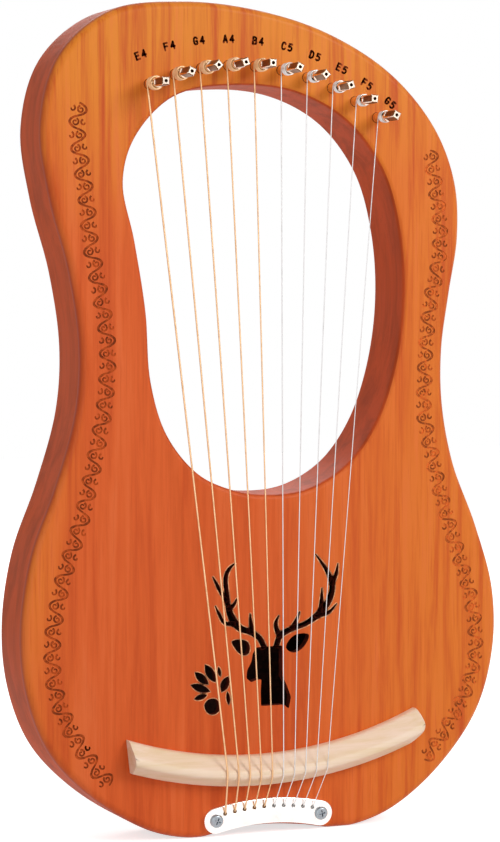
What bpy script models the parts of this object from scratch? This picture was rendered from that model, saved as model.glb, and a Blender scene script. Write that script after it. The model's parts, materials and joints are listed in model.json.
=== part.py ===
"""A ten-string lyre harp: a hollow wooden body with a through opening, and its strings.

The harp stands upright on the two low points of its foot. X runs to the right of someone who
looks at the front, the front face looks along -Y, and +Z is up. The middle of the foot is X = 0.
"""

import math

import bmesh
import bpy
from mathutils import Vector

MM = 0.001

# Thickness of the body and of what it is built from
BODY_DEPTH = 36 * MM
SOUNDBOARD = 4.5 * MM
BACK_PLATE = 4 * MM
FRONT_ROUND = 4 * MM
BACK_ROUND = 3 * MM
OPENING_ROUND = 2.5 * MM
ROUND_STEPS = 4
GAP = 0.3 * MM

# Where the wooden frame between the two plates is jointed
YOKE_LINE = 322 * MM
ARM_LINE = 180 * MM
RIM_SPLIT = 50 * MM
RIM_WALL = 9 * MM
CHAMBER_TOP = 153 * MM
CHAMBER_BOTTOM = 27 * MM

# Tuning pins stand on an arc above the opening, one every few degrees
STRINGS = 10
PIN_ARC_X = -12.5 * MM
PIN_ARC_Z = 255 * MM
PIN_ARC_RADIUS = 120 * MM
FIRST_PIN = math.radians(-23.9)
PIN_STEP = math.radians(6.7)
PIN_RADIUS = 2.5 * MM
PIN_PROUD = 23 * MM
PIN_SEATED = 19 * MM
PIN_NOSE = 1.5 * MM
PIN_CHAMFER = 0.5 * MM
SQUARE_START = 13.5 * MM
SQUARE_HALF = 2.1 * MM
SQUARE_TIP_HALF = 1.85 * MM
FLAT_TURN = math.radians(33)
DIMPLE_RADIUS = 1.1 * MM
DIMPLE_DEPTH = 1.2 * MM
EYE_HEIGHT = 11.6 * MM
EYE_RADIUS = 0.95 * MM
PIN_TURN = math.radians(23)
BORE_MARGIN = 2 * MM

# Strings, the lowest note first, and the turns that each takes round its pin
STRING_GAUGES = tuple(gauge * MM for gauge in (0.9, 0.85, 0.8, 0.75, 0.7, 0.55, 0.5, 0.48, 0.45, 0.42))
HUG_ANGLE = math.radians(150)
HUG_POINTS = 6
TURNS = 3
TURN_POINTS = 10
TURN_CLEARANCE = 0.45 * MM
EYE_LIFT = 1.3 * MM
STRINGS_X = 1 * MM
BRIDGE_PITCH = 5.9 * MM

# Bridge: an arc of hardwood, higher at its ends and a little higher on the right
BRIDGE_X = 3.8 * MM
BRIDGE_Z = 32.3 * MM
BRIDGE_RADIUS = 216 * MM
BRIDGE_TILT = math.radians(2.6)
BRIDGE_WIDTH = 15 * MM
BRIDGE_HEIGHT = 11 * MM
BRIDGE_EDGE = 4.5 * MM
CREST_WIDTH = 3 * MM
CREST_OFFSET = -1 * MM
BRIDGE_STEPS = 18

# The bridge's blank and its ends: sawn almost upright on the left, rounded off on the right
BLANK_HALF_LENGTH = 86 * MM
LEFT_END = -77.5 * MM
LEFT_END_LEAN = math.radians(6.4)
ROUND_END = 67.7 * MM
ROUND_END_RADIUS = 13 * MM
ROUND_END_STEPS = 8

# Tail plate: a bent strip with round ends that follows the notch of the foot
PLATE_RADIUS = 120 * MM
PLATE_Z = 11.7 * MM
PLATE_HALF_WIDTH = 6.3 * MM
PLATE_THICKNESS = 2.5 * MM
PLATE_EDGE = 0.5 * MM
SCREW_SPACING = 56 * MM
HOLE_PITCH = 5.1 * MM
HOLE_RISE = 2.2 * MM
HOLE_RADIUS = 0.95 * MM
BALL_RADIUS = 1.6 * MM
BALL_LENGTH = 2.2 * MM
BALL_TIP = 0.25 * MM
POCKET_DEPTH = 3 * MM
POCKET_MARGIN = 0.8 * MM

# Screws of the tail plate
SCREW_RADIUS = 1.4 * MM
SCREW_LENGTH = 15 * MM
SCREW_TAPER = 3 * MM
SCREW_HEAD_RADIUS = 3.3 * MM
SCREW_HEAD_HEIGHT = 1.6 * MM
SLOT_LENGTH = 3.6 * MM
SLOT_WIDTH = 0.8 * MM
SLOT_DEPTH = 0.9 * MM

# Braces inside the sound chamber
BRACE_WIDTH = 8 * MM
BRACE_HEIGHT = 10 * MM
BRACE_END = 3 * MM
BRACE_TAPER = 22 * MM
FRONT_BRACE_Z = 50 * MM
FRONT_BRACE_LENGTH = 190 * MM
BACK_BRACE_Z = 142 * MM
BACK_BRACE_LENGTH = 200 * MM

# Outline of the body, from the middle of the notch round to the right, in millimetres
OUTLINE = (
    (0, 5.2), (20, 3.8), (34, 0.6), (48, 2.2), (68, 10.5), (93, 29), (114, 56), (123, 86),
    (123.3, 116), (114, 148), (101, 180), (94, 210), (93, 238), (97, 266), (102, 294), (102, 321),
    (92, 348), (68, 374), (33, 392.5), (-5, 402.5), (-43, 405), (-79, 398), (-103, 376),
    (-113.5, 345), (-110, 311), (-99.5, 276), (-92.5, 240), (-94.5, 208), (-105, 172), (-118, 140),
    (-124, 106), (-121, 76), (-110, 48), (-91, 25), (-64, 7.5), (-48, 1.8), (-34, 0.6), (-20, 3.8),
)
OUTLINE_STEPS = 3

# Outline of the through opening, from its lowest point round to the right, in millimetres
OPENING = (
    (-1, 165), (22, 168), (43, 180), (58, 200), (68, 228), (73, 262), (71, 296), (62, 326),
    (43, 350), (16, 363), (-16, 365.5), (-48, 360), (-69, 340), (-75.5, 318), (-70, 290),
    (-64, 256), (-61, 222), (-53, 196), (-37, 176), (-19, 167.5),
)
OPENING_STEPS = 3

# Sound hole, in millimetres on the front face: closed shapes first, then strokes that taper.
# A stroke's points carry half the stroke's width as their third number.
HEAD = (
    (-5.5, 92), (8.1, 92.3), (8.2, 77), (10.5, 72.6), (12.8, 66.6), (11.6, 60.8), (9, 63), (-3.2, 63),
    (-3.4, 70), (-3, 76.2), (-5.5, 76), (-8.4, 74.9), (-10.9, 77), (-10.6, 80.8), (-8.3, 85), (-7.6, 89),
)
RIGHT_EAR = ((10.1, 91), (11.6, 94.6), (15.6, 97.4), (22.4, 96.9), (19.6, 91), (14, 88.4))
LEFT_EAR = ((-18.6, 95.4), (-13.6, 88.6), (-10, 88.9), (-9, 91.5), (-10.2, 94.9), (-14, 96.2))
PETAL = ((-33, 65), (-31.6, 61.4), (-28.4, 60.1), (-25.4, 61.6), (-24.9, 65), (-27, 67.8), (-31, 67.6))
LEAVES = (
    ((-32.6, 84.4), (-27.6, 76.4), 3.6), ((-37.6, 80.8), (-32, 76), 3.2),
    ((-39.8, 75.2), (-30.6, 71.9), 3.2), ((-38, 68.6), (-32.2, 70.2), 2.2),
    ((-20.7, 78.1), (-23.6, 71.4), 3.6), ((-25.2, 83), (-24.4, 79.4), 1.2),
    ((-20.9, 70.6), (-20.1, 65), 1.5),
)
RIGHT_BEAM = (
    (4.6, 91, 1.5), (7, 96.9, 1.5), (12.5, 100, 1.4), (20.7, 102.5, 1.3), (27.1, 106.5, 1.7),
    (32.3, 112, 1.7), (34.8, 118, 1.6), (34.6, 122.6, 1.5), (31.6, 129, 1.0), (25.9, 136.6, 0.3),
)
LEFT_BEAM = (
    (-1.2, 91, 1.5), (-4, 96.4, 1.4), (-9, 99.7, 1.4), (-14.3, 101.8, 1.7), (-18.2, 106.4, 1.9),
    (-20.4, 112, 1.5), (-21.2, 119, 1.2), (-21.8, 126.6, 1.2), (-20, 131, 0.9), (-16.6, 133.8, 0.3),
)
TINES = (
    ((34.6, 121, 1.2), (37.1, 126.5, 1.0), (38.1, 131.7, 0.3)),
    ((26, 105.6, 0.9), (32.9, 107.4, 0.9), (37.5, 111.7, 0.3)),
    ((13, 100.2, 1.2), (15.7, 104.3, 1.0), (17.5, 108.7, 0.3)),
    ((-20.6, 111, 1.0), (-17.6, 113.2, 0.9), (-15.7, 116.6, 0.3)),
    ((-16.4, 103.8, 1.0), (-22.5, 104.8, 0.9), (-25, 108.7, 0.8), (-27.3, 113.3, 0.3)),
    ((28.4, 107.6, 1.2), (29.3, 114.2, 1.0), (29.4, 119.9, 0.3)),
    ((7, 96.4, 1.4), (5, 100.8, 1.2), (4.8, 103.8, 1.0), (6.4, 107.2, 0.3)),
    ((-7.6, 98.6, 1.3), (-8.4, 103.2, 1.1), (-9, 108.9, 0.3)),
    ((-20.9, 115, 1.0), (-24.4, 119.8, 0.9), (-26.4, 123.6, 0.8), (-28.6, 127.6, 0.3)),
)

# Heights that follow from the sizes above. The depth of the harp is centred on Y = 0.
FRONT_Y = (PIN_PROUD - BODY_DEPTH) / 2
BACK_Y = FRONT_Y + BODY_DEPTH
FRAME_FRONT = FRONT_Y + SOUNDBOARD + GAP
FRAME_BACK = BACK_Y - BACK_PLATE - GAP
BEYOND = 2 * BODY_DEPTH


def clear_scene():
    for item in list(bpy.data.objects):
        bpy.data.objects.remove(item)


def make_material(name, colour, roughness, metallic=0.0):
    material = bpy.data.materials.new(name)
    material.use_nodes = True
    shader = material.node_tree.nodes["Principled BSDF"]
    shader.inputs["Base Color"].default_value = (*colour, 1.0)
    shader.inputs["Roughness"].default_value = roughness
    shader.inputs["Metallic"].default_value = metallic
    return material


def in_metres(points):
    return [(x * MM, z * MM) for x, z in points]


# Flat shapes: a loop is a list of (x, z) that runs anticlockwise, seen from the front

def smooth_loop(points, steps):
    """A closed centripetal Catmull-Rom curve through the points, with steps parts between two."""
    count = len(points)
    loop = []
    for i in range(count):
        a, b, c, d = (Vector(points[(i + k) % count]) for k in (-1, 0, 1, 2))
        knot_b = math.sqrt((b - a).length)
        knot_c = knot_b + math.sqrt((c - b).length)
        knot_d = knot_c + math.sqrt((d - c).length)
        for step in range(steps):
            t = knot_b + (knot_c - knot_b) * step / steps
            ab = a.lerp(b, t / knot_b)
            bc = b.lerp(c, (t - knot_b) / (knot_c - knot_b))
            cd = c.lerp(d, (t - knot_c) / (knot_d - knot_c))
            abc = ab.lerp(bc, t / knot_c)
            bcd = bc.lerp(cd, (t - knot_b) / (knot_d - knot_b))
            loop.append(tuple(abc.lerp(bcd, (t - knot_b) / (knot_c - knot_b))))
    return loop


def stand_and_centre(loop):
    """The loop moved so that its lowest point is at Z = 0 and its width is centred on X = 0."""
    across = [x for x, _ in loop]
    middle = (min(across) + max(across)) / 2
    low = min(z for _, z in loop)
    return [(x - middle, z - low) for x, z in loop]


def offset_loop(loop, distance):
    """The loop moved outwards by distance, or inwards where distance is below zero."""
    moved = []
    for i, (x, z) in enumerate(loop):
        before = loop[i - 1]
        after = loop[(i + 1) % len(loop)]
        across = after[0] - before[0]
        rise = after[1] - before[1]
        length = math.hypot(across, rise)
        moved.append((x + distance * rise / length, z - distance * across / length))
    return moved


def clip(loop, inside):
    """The part of the loop where inside(point) is above zero, closed along straight cuts."""
    kept = []
    for i, point in enumerate(loop):
        last = loop[i - 1]
        here = inside(point)
        there = inside(last)
        if (here > 0) != (there > 0):
            share = there / (there - here)
            kept.append(tuple(a + share * (b - a) for a, b in zip(last, point)))
        if here > 0:
            kept.append(point)
    return kept


def clip_box(loop, left=-1.0, right=1.0, low=-1.0, high=1.0):
    loop = clip(loop, lambda point: point[0] - left)
    loop = clip(loop, lambda point: right - point[0])
    loop = clip(loop, lambda point: point[1] - low)
    return clip(loop, lambda point: high - point[1])


def circle(x, z, radius, sides):
    return [
        (x + radius * math.cos(2 * math.pi * i / sides), z + radius * math.sin(2 * math.pi * i / sides))
        for i in range(sides)
    ]


def stroke(points):
    """A tapering stroke along (x, z, half width), as a closed loop."""
    left = []
    right = []
    for i, (x, z, half) in enumerate(points):
        before = points[max(i - 1, 0)]
        after = points[min(i + 1, len(points) - 1)]
        along = Vector((after[0] - before[0], after[1] - before[1])).normalized()
        right.append((x + half * along.y, z - half * along.x))
        left.append((x - half * along.y, z + half * along.x))
    return right + left[::-1]


def leaf(start, end, width):
    """A pointed leaf from start to end."""
    start = Vector(start)
    along = Vector(end) - start
    side = Vector((along.y, -along.x)).normalized() * width / 2
    places = ((0.0, 0.0), (0.25, 0.72), (0.5, 1.0), (0.78, 0.72), (1.0, 0.0))
    right = [start + along * t + side * bulge for t, bulge in places]
    left = [start + along * t - side * bulge for t, bulge in places[-2:0:-1]]
    return [tuple(point) for point in right + left]


# Solids

def new_object(name, mesh_builder, material=None):
    mesh = bpy.data.meshes.new(name)
    mesh_builder.to_mesh(mesh)
    mesh_builder.free()
    made = bpy.data.objects.new(name, mesh)
    bpy.context.scene.collection.objects.link(made)
    if material:
        mesh.materials.append(material)
        mesh.shade_smooth()
        mesh.set_sharp_from_angle(angle=math.radians(35))
    else:
        made.hide_render = True
        made.display_type = "WIRE"
    return made


def add_loft(build, rings):
    """Joins rings of equal length into one closed skin, with a flat cap at each end."""
    rows = [[build.verts.new(point) for point in ring] for ring in rings]
    for row, following in zip(rows, rows[1:]):
        for i in range(len(row)):
            build.faces.new((row[i - 1], row[i], following[i], following[i - 1]))
    build.faces.new(rows[0])
    build.faces.new(rows[-1][::-1])


def loft(name, rings, material=None):
    build = bmesh.new()
    add_loft(build, rings)
    bmesh.ops.recalc_face_normals(build, faces=build.faces)
    return new_object(name, build, material)


def at_depth(loop, y):
    return [(x, y, z) for x, z in loop]


def prism(name, loop, front, back, material=None):
    return loft(name, [at_depth(loop, front), at_depth(loop, back)], material)


def prisms(name, loops, front, back):
    """One cutter made of several prisms. Where they meet, the cut needs use_self."""
    build = bmesh.new()
    for loop in loops:
        add_loft(build, [at_depth(loop, front), at_depth(loop, back)])
    bmesh.ops.recalc_face_normals(build, faces=build.faces)
    return new_object(name, build)


def cut(piece, cutter):
    step = piece.modifiers.new(cutter.name, "BOOLEAN")
    step.operation = "DIFFERENCE"
    step.solver = "EXACT"
    step.object = cutter
    return step


def rounded_rings(loop, face, inner, radius, sign):
    """Rings from the face at y = face to y = inner, with the edge at the face rounded.

    sign is -1 for the edge of a plate, which draws in, and 1 for an opening, which flares.
    """
    towards = 1 if inner > face else -1
    rings = []
    for step in range(ROUND_STEPS + 1):
        angle = math.pi / 2 * step / ROUND_STEPS
        shift = radius * (1 - math.sin(angle))
        depth = radius * (1 - math.cos(angle))
        rings.append(at_depth(offset_loop(loop, sign * shift), face + towards * depth))
    rings.append(at_depth(loop, inner))
    return rings


def make_opening_cutter(opening):
    """The through opening, flared where it meets the front and back faces."""
    front = rounded_rings(opening, FRONT_Y, FRAME_FRONT, OPENING_ROUND, 1)
    back = rounded_rings(opening, BACK_Y, FRAME_BACK, OPENING_ROUND, 1)
    mouth = offset_loop(opening, OPENING_ROUND)
    rings = [at_depth(mouth, FRONT_Y - BEYOND)] + front + back[::-1] + [at_depth(mouth, BACK_Y + BEYOND)]
    return loft("cut_opening", rings)


# Tuning pins and strings

def pin_place(number):
    angle = FIRST_PIN + PIN_STEP * number
    x = PIN_ARC_X + PIN_ARC_RADIUS * math.sin(angle)
    return x, PIN_ARC_Z + PIN_ARC_RADIUS * math.cos(angle)


def pin_ring(radius, flat, height):
    """Twelve points round the pin: a circle, cut by the flats of a square where flat is given."""
    ring = []
    for quarter in range(4):
        for turn in (-FLAT_TURN, 0, FLAT_TURN):
            limit = flat / math.cos(turn) if flat else radius
            reach = min(radius, limit)
            angle = math.pi / 2 * quarter + turn
            ring.append((reach * math.cos(angle), -height, reach * math.sin(angle)))
    return ring


def eye_angle(number):
    """How far a pin is turned about its axis, and its eye with it."""
    return PIN_TURN * number


def make_pin(number, steel):
    x, z = pin_place(number)
    corner = SQUARE_HALF / math.cos(FLAT_TURN)
    tip_corner = SQUARE_TIP_HALF / math.cos(FLAT_TURN)
    rings = [
        pin_ring(PIN_RADIUS - PIN_NOSE / 2, 0, -PIN_SEATED),
        pin_ring(PIN_RADIUS, 0, PIN_NOSE - PIN_SEATED),
        pin_ring(PIN_RADIUS, 0, SQUARE_START),
        pin_ring(corner, SQUARE_HALF, SQUARE_START + PIN_CHAMFER),
        pin_ring(tip_corner, SQUARE_TIP_HALF, PIN_PROUD - PIN_CHAMFER),
        pin_ring(tip_corner - PIN_CHAMFER, SQUARE_TIP_HALF - PIN_CHAMFER / 2, PIN_PROUD),
        pin_ring(DIMPLE_RADIUS, 0, PIN_PROUD),
        pin_ring(DIMPLE_RADIUS / 3, 0, PIN_PROUD - DIMPLE_DEPTH),
    ]
    pin = loft(f"tuning_pin_{number + 1}", rings, steel)
    pin.location = (x, FRONT_Y, z)
    pin.rotation_euler = (0, eye_angle(number), 0)
    eye = prism(f"cut_eye_{number + 1}", circle(0, 0, EYE_RADIUS, 8), -2 * PIN_RADIUS, 2 * PIN_RADIUS)
    eye.parent = pin
    eye.location = (0, -EYE_HEIGHT, 0)
    eye.rotation_euler = (0, 0, math.pi / 2)
    cut(pin, eye)


def arc_on_bridge(along, offset=0.0):
    """A point of the front face beside the bridge's arc, along it and offset upwards from it."""
    angle = along / BRIDGE_RADIUS
    reach = BRIDGE_RADIUS - offset
    flat = Vector((reach * math.sin(angle), BRIDGE_RADIUS - reach * math.cos(angle)))
    c = math.cos(BRIDGE_TILT)
    s = math.sin(BRIDGE_TILT)
    return BRIDGE_X + c * flat.x - s * flat.y, BRIDGE_Z + s * flat.x + c * flat.y


def string_share(number):
    return number - (STRINGS - 1) / 2


def bridge_point(number, offset):
    """Where a string crosses the bridge: BRIDGE_PITCH apart, centred on X = STRINGS_X."""
    wanted = STRINGS_X + string_share(number) * BRIDGE_PITCH
    along = wanted
    for _ in range(6):
        along += wanted - arc_on_bridge(along, offset)[0]
    return arc_on_bridge(along, offset)


def plate_point(across, rise):
    """A point of the tail plate, across along its arc and rise above its middle line."""
    angle = across / PLATE_RADIUS
    reach = PLATE_RADIUS + rise
    return reach * math.sin(angle), PLATE_Z - PLATE_RADIUS + reach * math.cos(angle)


def tangent_to_pin(foot, number, reach):
    """The angle on the pin's left side where a string from foot comes to it."""
    x, z = pin_place(number)
    away = Vector((x - foot[0], z - foot[1]))
    lean = math.atan2(away.y, away.x) + math.asin(reach / away.length)
    return lean + math.pi / 2


def on_pin(number, angle, reach, height):
    x, z = pin_place(number)
    return x + reach * math.cos(angle), FRONT_Y - height, z + reach * math.sin(angle)


def make_tube(name, points, radius, material, widths=None):
    """A round tube through the points, whose width at each point may be given as a multiple."""
    curve = bpy.data.curves.new(name, "CURVE")
    curve.dimensions = "3D"
    curve.bevel_depth = radius
    curve.bevel_resolution = 1
    curve.use_fill_caps = True
    spline = curve.splines.new("POLY")
    spline.points.add(len(points) - 1)
    for place, point in zip(spline.points, points):
        place.co = (*point, 1.0)
    if widths:
        for place, width in zip(spline.points, widths):
            place.radius = width
    curve.materials.append(material)
    made = bpy.data.objects.new(name, curve)
    bpy.context.scene.collection.objects.link(made)
    return made


def wound_reach(number):
    """From the pin's axis to the middle of the wire wound round it."""
    return PIN_RADIUS + GAP + STRING_GAUGES[number] / 2


def string_touch(number):
    """The angle at which the string from the bridge comes to its pin."""
    upper = bridge_point(number, CREST_OFFSET + CREST_WIDTH / 2)
    return tangent_to_pin(upper, number, wound_reach(number))


def turn_pitch(number):
    return STRING_GAUGES[number] + TURN_CLEARANCE


def wound_sweep(number):
    """The angle that the wire winds, from the end of the string's last half turn to the eye."""
    first = string_touch(number) - HUG_ANGLE
    eye = math.pi - eye_angle(number)
    return 2 * math.pi * (TURNS - 1) + (first - eye) % (2 * math.pi)


def winding_foot(number):
    """The height of the lowest turn, which leaves the highest one just under the eye."""
    return EYE_HEIGHT - EYE_LIFT - turn_pitch(number) * wound_sweep(number) / (2 * math.pi)


def make_string(number, metal):
    """The sounding string: round its pin, over the bridge, and down to its ball end."""
    gauge = STRING_GAUGES[number]
    touch = string_touch(number)
    at_pin = winding_foot(number) - turn_pitch(number)
    over = BRIDGE_HEIGHT + GAP + gauge / 2
    upper = bridge_point(number, CREST_OFFSET + CREST_WIDTH / 2)
    lower = bridge_point(number, CREST_OFFSET - CREST_WIDTH / 2)
    hole = plate_point(string_share(number) * HOLE_PITCH, HOLE_RISE)
    points = []
    for step in range(HUG_POINTS):
        back = HUG_ANGLE * (1 - step / (HUG_POINTS - 1))
        points.append(on_pin(number, touch - back, wound_reach(number), at_pin))
    points.append((upper[0], FRONT_Y - over, upper[1]))
    points.append((lower[0], FRONT_Y - over, lower[1]))
    bend = GAP + PLATE_THICKNESS + gauge / 2
    for height in (bend, bend - gauge, GAP, 0, -BALL_LENGTH, -BALL_LENGTH - BALL_TIP):
        points.append((hole[0], FRONT_Y - height, hole[1]))
    ball = BALL_RADIUS / (gauge / 2)
    widths = [1.0] * (len(points) - 3) + [ball, ball, 0.7 * ball]
    make_tube(f"string_{number + 1}", points, gauge / 2, metal, widths)


def least_gap(points, gauge):
    """The least gap between a tube's turns, measured on points at least four places apart."""
    gaps = [
        (Vector(a) - Vector(b)).length - gauge
        for i, a in enumerate(points)
        for b in points[i + 4:]
    ]
    return min(gaps)


def make_winding(number, metal):
    """The turns on the pin, from the string's last half turn up to the eye and into it."""
    gauge = STRING_GAUGES[number]
    first = string_touch(number) - HUG_ANGLE
    sweep = wound_sweep(number)
    rise = turn_pitch(number) * sweep / (2 * math.pi)
    count = math.ceil(sweep / (2 * math.pi) * TURN_POINTS)
    points = []
    for step in range(count):
        share = step / count
        height = winding_foot(number) + rise * share
        points.append(on_pin(number, first - sweep * share, wound_reach(number), height))
    points.append(on_pin(number, first - sweep, wound_reach(number), EYE_HEIGHT))
    points.append(on_pin(number, first - sweep, 0.4 * PIN_RADIUS, EYE_HEIGHT))
    print(f"string_winding_{number + 1} least gap {least_gap(points, gauge) / MM:.2f} mm")
    make_tube(f"string_winding_{number + 1}", points, gauge / 2, metal)


# Wooden body

def make_soundboard(outline, opening_cutter, wood):
    board = loft("soundboard", rounded_rings(outline, FRONT_Y, FRONT_Y + SOUNDBOARD, FRONT_ROUND, -1), wood)
    cut(board, opening_cutter)
    holes = [circle(*pin_place(number), PIN_RADIUS + GAP, 12) for number in range(STRINGS)]
    holes += [circle(*screw_place(side), SCREW_RADIUS + GAP, 8) for side in (-1, 1)]
    cut(board, prisms("cut_board_holes", holes, FRONT_Y - BEYOND, FRONT_Y + BEYOND))
    pocket = strip_outline(string_share(STRINGS - 1) * HOLE_PITCH, BALL_RADIUS + POCKET_MARGIN, HOLE_RISE)
    cut(board, prism("cut_ball_pocket", pocket, FRONT_Y - BEYOND, FRONT_Y + POCKET_DEPTH))
    shapes = [HEAD, RIGHT_EAR, LEFT_EAR, PETAL] + [leaf(*shape) for shape in LEAVES]
    shapes += [stroke(path) for path in (RIGHT_BEAM, LEFT_BEAM, *TINES)]
    loops = [in_metres(shape) for shape in shapes]
    sound_hole = cut(board, prisms("cut_sound_hole", loops, FRONT_Y - BEYOND, FRONT_Y + BEYOND))
    sound_hole.use_self = True


def make_back(outline, opening_cutter, wood):
    back = loft("back_plate", rounded_rings(outline, BACK_Y, BACK_Y - BACK_PLATE, BACK_ROUND, -1), wood)
    cut(back, opening_cutter)


def make_frame(outline, opening_cutter, wood):
    """The frame between the plates: yoke, arms, rims, the rail under the opening and the tail block."""
    bores = [circle(*pin_place(number), PIN_RADIUS + GAP, 12) for number in range(STRINGS)]
    bore_floor = FRONT_Y + PIN_SEATED + BORE_MARGIN
    yoke = prism("yoke", clip_box(outline, low=YOKE_LINE), FRAME_FRONT, FRAME_BACK, wood)
    cut(yoke, opening_cutter)
    cut(yoke, prisms("cut_pin_bores", bores, FRONT_Y - BEYOND, bore_floor))
    top = YOKE_LINE - GAP
    for name, left, right in (("left_arm", -1.0, 0.0), ("right_arm", 0.0, 1.0)):
        shape = clip_box(outline, left, right, ARM_LINE, top)
        cut(prism(name, shape, FRAME_FRONT, FRAME_BACK, wood), opening_cutter)
    inner = clip_box(offset_loop(outline, -RIM_WALL), low=CHAMBER_BOTTOM, high=CHAMBER_TOP)
    chamber = prism("cut_chamber", inner, FRONT_Y - BEYOND, BACK_Y + BEYOND)
    shoulder = ARM_LINE - GAP
    for name, left, right in (("left_rim", -1.0, -RIM_SPLIT), ("right_rim", RIM_SPLIT, 1.0)):
        shape = clip_box(outline, left, right, high=shoulder)
        cut(prism(name, shape, FRAME_FRONT, FRAME_BACK, wood), chamber)
    half = RIM_SPLIT - GAP
    rail_shape = clip_box(outline, -half, half, CHAMBER_TOP, shoulder)
    cut(prism("opening_rail", rail_shape, FRAME_FRONT, FRAME_BACK, wood), opening_cutter)
    block_shape = clip_box(outline, -half, half, high=CHAMBER_BOTTOM)
    block = prism("tail_block", block_shape, FRAME_FRONT, FRAME_BACK, wood)
    holes = [circle(*screw_place(side), SCREW_RADIUS + GAP, 8) for side in (-1, 1)]
    cut(block, prisms("cut_screw_bores", holes, FRONT_Y - BEYOND, FRONT_Y + SCREW_LENGTH + BORE_MARGIN))


def make_brace(name, z, length, board_face, inward, wood):
    """A brace along X that lies on a plate's inner face and thins towards its ends."""
    half = length / 2
    heights = ((-half, BRACE_END), (BRACE_TAPER - half, BRACE_HEIGHT), (half - BRACE_TAPER, BRACE_HEIGHT),
               (half, BRACE_END))
    profile = [(half, 0), (-half, 0), *heights]
    rings = [
        [(x, board_face + inward * height, z + side * BRACE_WIDTH / 2) for x, height in profile]
        for side in (-1, 1)
    ]
    loft(name, rings, wood)


def bridge_end_cuts():
    """What is cut off the bridge's blank, as a loop at its left end and one at its right end."""
    reach = BRIDGE_WIDTH
    x, z = arc_on_bridge(LEFT_END)
    slant = reach * math.tan(LEFT_END_LEAN)
    left = [
        (x - 2 * reach, z - reach), (x + slant, z - reach),
        (x - slant, z + reach), (x - 2 * reach, z + reach),
    ]

    centre = arc_on_bridge(ROUND_END, ROUND_END_RADIUS - BRIDGE_WIDTH / 2)
    lean = BRIDGE_TILT + ROUND_END / BRIDGE_RADIUS
    far = ROUND_END_RADIUS + 2 * reach
    corners = [(0, -far), (far, -far), (far, reach), (ROUND_END_RADIUS, reach)]
    for step in range(ROUND_END_STEPS + 1):
        angle = -math.pi / 2 * step / ROUND_END_STEPS
        corners.append((ROUND_END_RADIUS * math.cos(angle), ROUND_END_RADIUS * math.sin(angle)))
    c = math.cos(lean)
    s = math.sin(lean)
    right = [(centre[0] + c * u - s * v, centre[1] + s * u + c * v) for u, v in corners]
    return [left, right]


def make_bridge(maple):
    half = BRIDGE_WIDTH / 2
    section = (
        (-half, GAP), (half, GAP), (half, BRIDGE_EDGE),
        (CREST_OFFSET + CREST_WIDTH / 2, BRIDGE_HEIGHT), (CREST_OFFSET - CREST_WIDTH / 2, BRIDGE_HEIGHT),
        (-half, BRIDGE_EDGE),
    )
    rings = []
    for step in range(BRIDGE_STEPS + 1):
        along = BLANK_HALF_LENGTH * (2 * step / BRIDGE_STEPS - 1)
        ring = []
        for offset, height in section:
            x, z = arc_on_bridge(along, offset)
            ring.append((x, FRONT_Y - height, z))
        rings.append(ring)
    bridge = loft("bridge", rings, maple)
    cut(bridge, prisms("cut_bridge_ends", bridge_end_cuts(), FRONT_Y - BEYOND, FRONT_Y + BEYOND))


# Tail plate

def screw_place(side):
    return plate_point(side * SCREW_SPACING / 2, 0)


def strip_outline(half_length, half_width, rise):
    """A strip along the plate's arc with round ends."""
    long_steps = 10
    end_steps = 6
    loop = []
    for side in (1, -1):
        x, z = plate_point(side * half_length, rise)
        lean = side * half_length / PLATE_RADIUS
        for step in range(end_steps + 1):
            angle = math.pi * (step / end_steps - side / 2) - lean
            loop.append((x + half_width * math.cos(angle), z + half_width * math.sin(angle)))
        for step in range(1, long_steps):
            across = side * half_length * (1 - 2 * step / long_steps)
            loop.append(plate_point(across, rise + side * half_width))
    return loop


def make_tail_plate(nickel):
    reach = SCREW_SPACING / 2
    top = GAP + PLATE_THICKNESS
    rings = [
        at_depth(strip_outline(reach, PLATE_HALF_WIDTH, 0), FRONT_Y - GAP),
        at_depth(strip_outline(reach, PLATE_HALF_WIDTH, 0), FRONT_Y - top + PLATE_EDGE),
        at_depth(strip_outline(reach, PLATE_HALF_WIDTH - PLATE_EDGE, 0), FRONT_Y - top),
    ]
    plate = loft("tail_plate", rings, nickel)
    holes = [
        circle(*plate_point(string_share(number) * HOLE_PITCH, HOLE_RISE), HOLE_RADIUS, 8)
        for number in range(STRINGS)
    ]
    holes += [circle(*screw_place(side), SCREW_RADIUS + GAP, 12) for side in (-1, 1)]
    cut(plate, prisms("cut_plate_holes", holes, FRONT_Y - BEYOND, FRONT_Y + BEYOND))


def make_screw(name, side, steel):
    """A pan-head screw with a cross slot."""
    x, z = screw_place(side)
    seat = 2 * GAP + PLATE_THICKNESS
    rise = SCREW_HEAD_HEIGHT / 2
    sizes = (
        (0.3 * SCREW_RADIUS, -SCREW_LENGTH), (SCREW_RADIUS, SCREW_TAPER - SCREW_LENGTH), (SCREW_RADIUS, seat),
        (SCREW_HEAD_RADIUS, seat), (SCREW_HEAD_RADIUS, seat + rise),
        (0.7 * SCREW_HEAD_RADIUS, seat + SCREW_HEAD_HEIGHT),
    )
    rings = [[(px, -height, pz) for px, pz in circle(0, 0, radius, 12)] for radius, height in sizes]
    screw = loft(name, rings, steel)
    screw.location = (x, FRONT_Y, z)
    top = seat + SCREW_HEAD_HEIGHT
    for number, (wide, tall) in enumerate(((SLOT_LENGTH, SLOT_WIDTH), (SLOT_WIDTH, SLOT_LENGTH))):
        arm = [(wide / 2 * a, tall / 2 * b) for a, b in ((-1, -1), (1, -1), (1, 1), (-1, 1))]
        slot = prism(f"cut_{name}_{number + 1}", arm, -top - SLOT_DEPTH, SLOT_DEPTH - top)
        slot.parent = screw
        cut(screw, slot)


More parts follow.
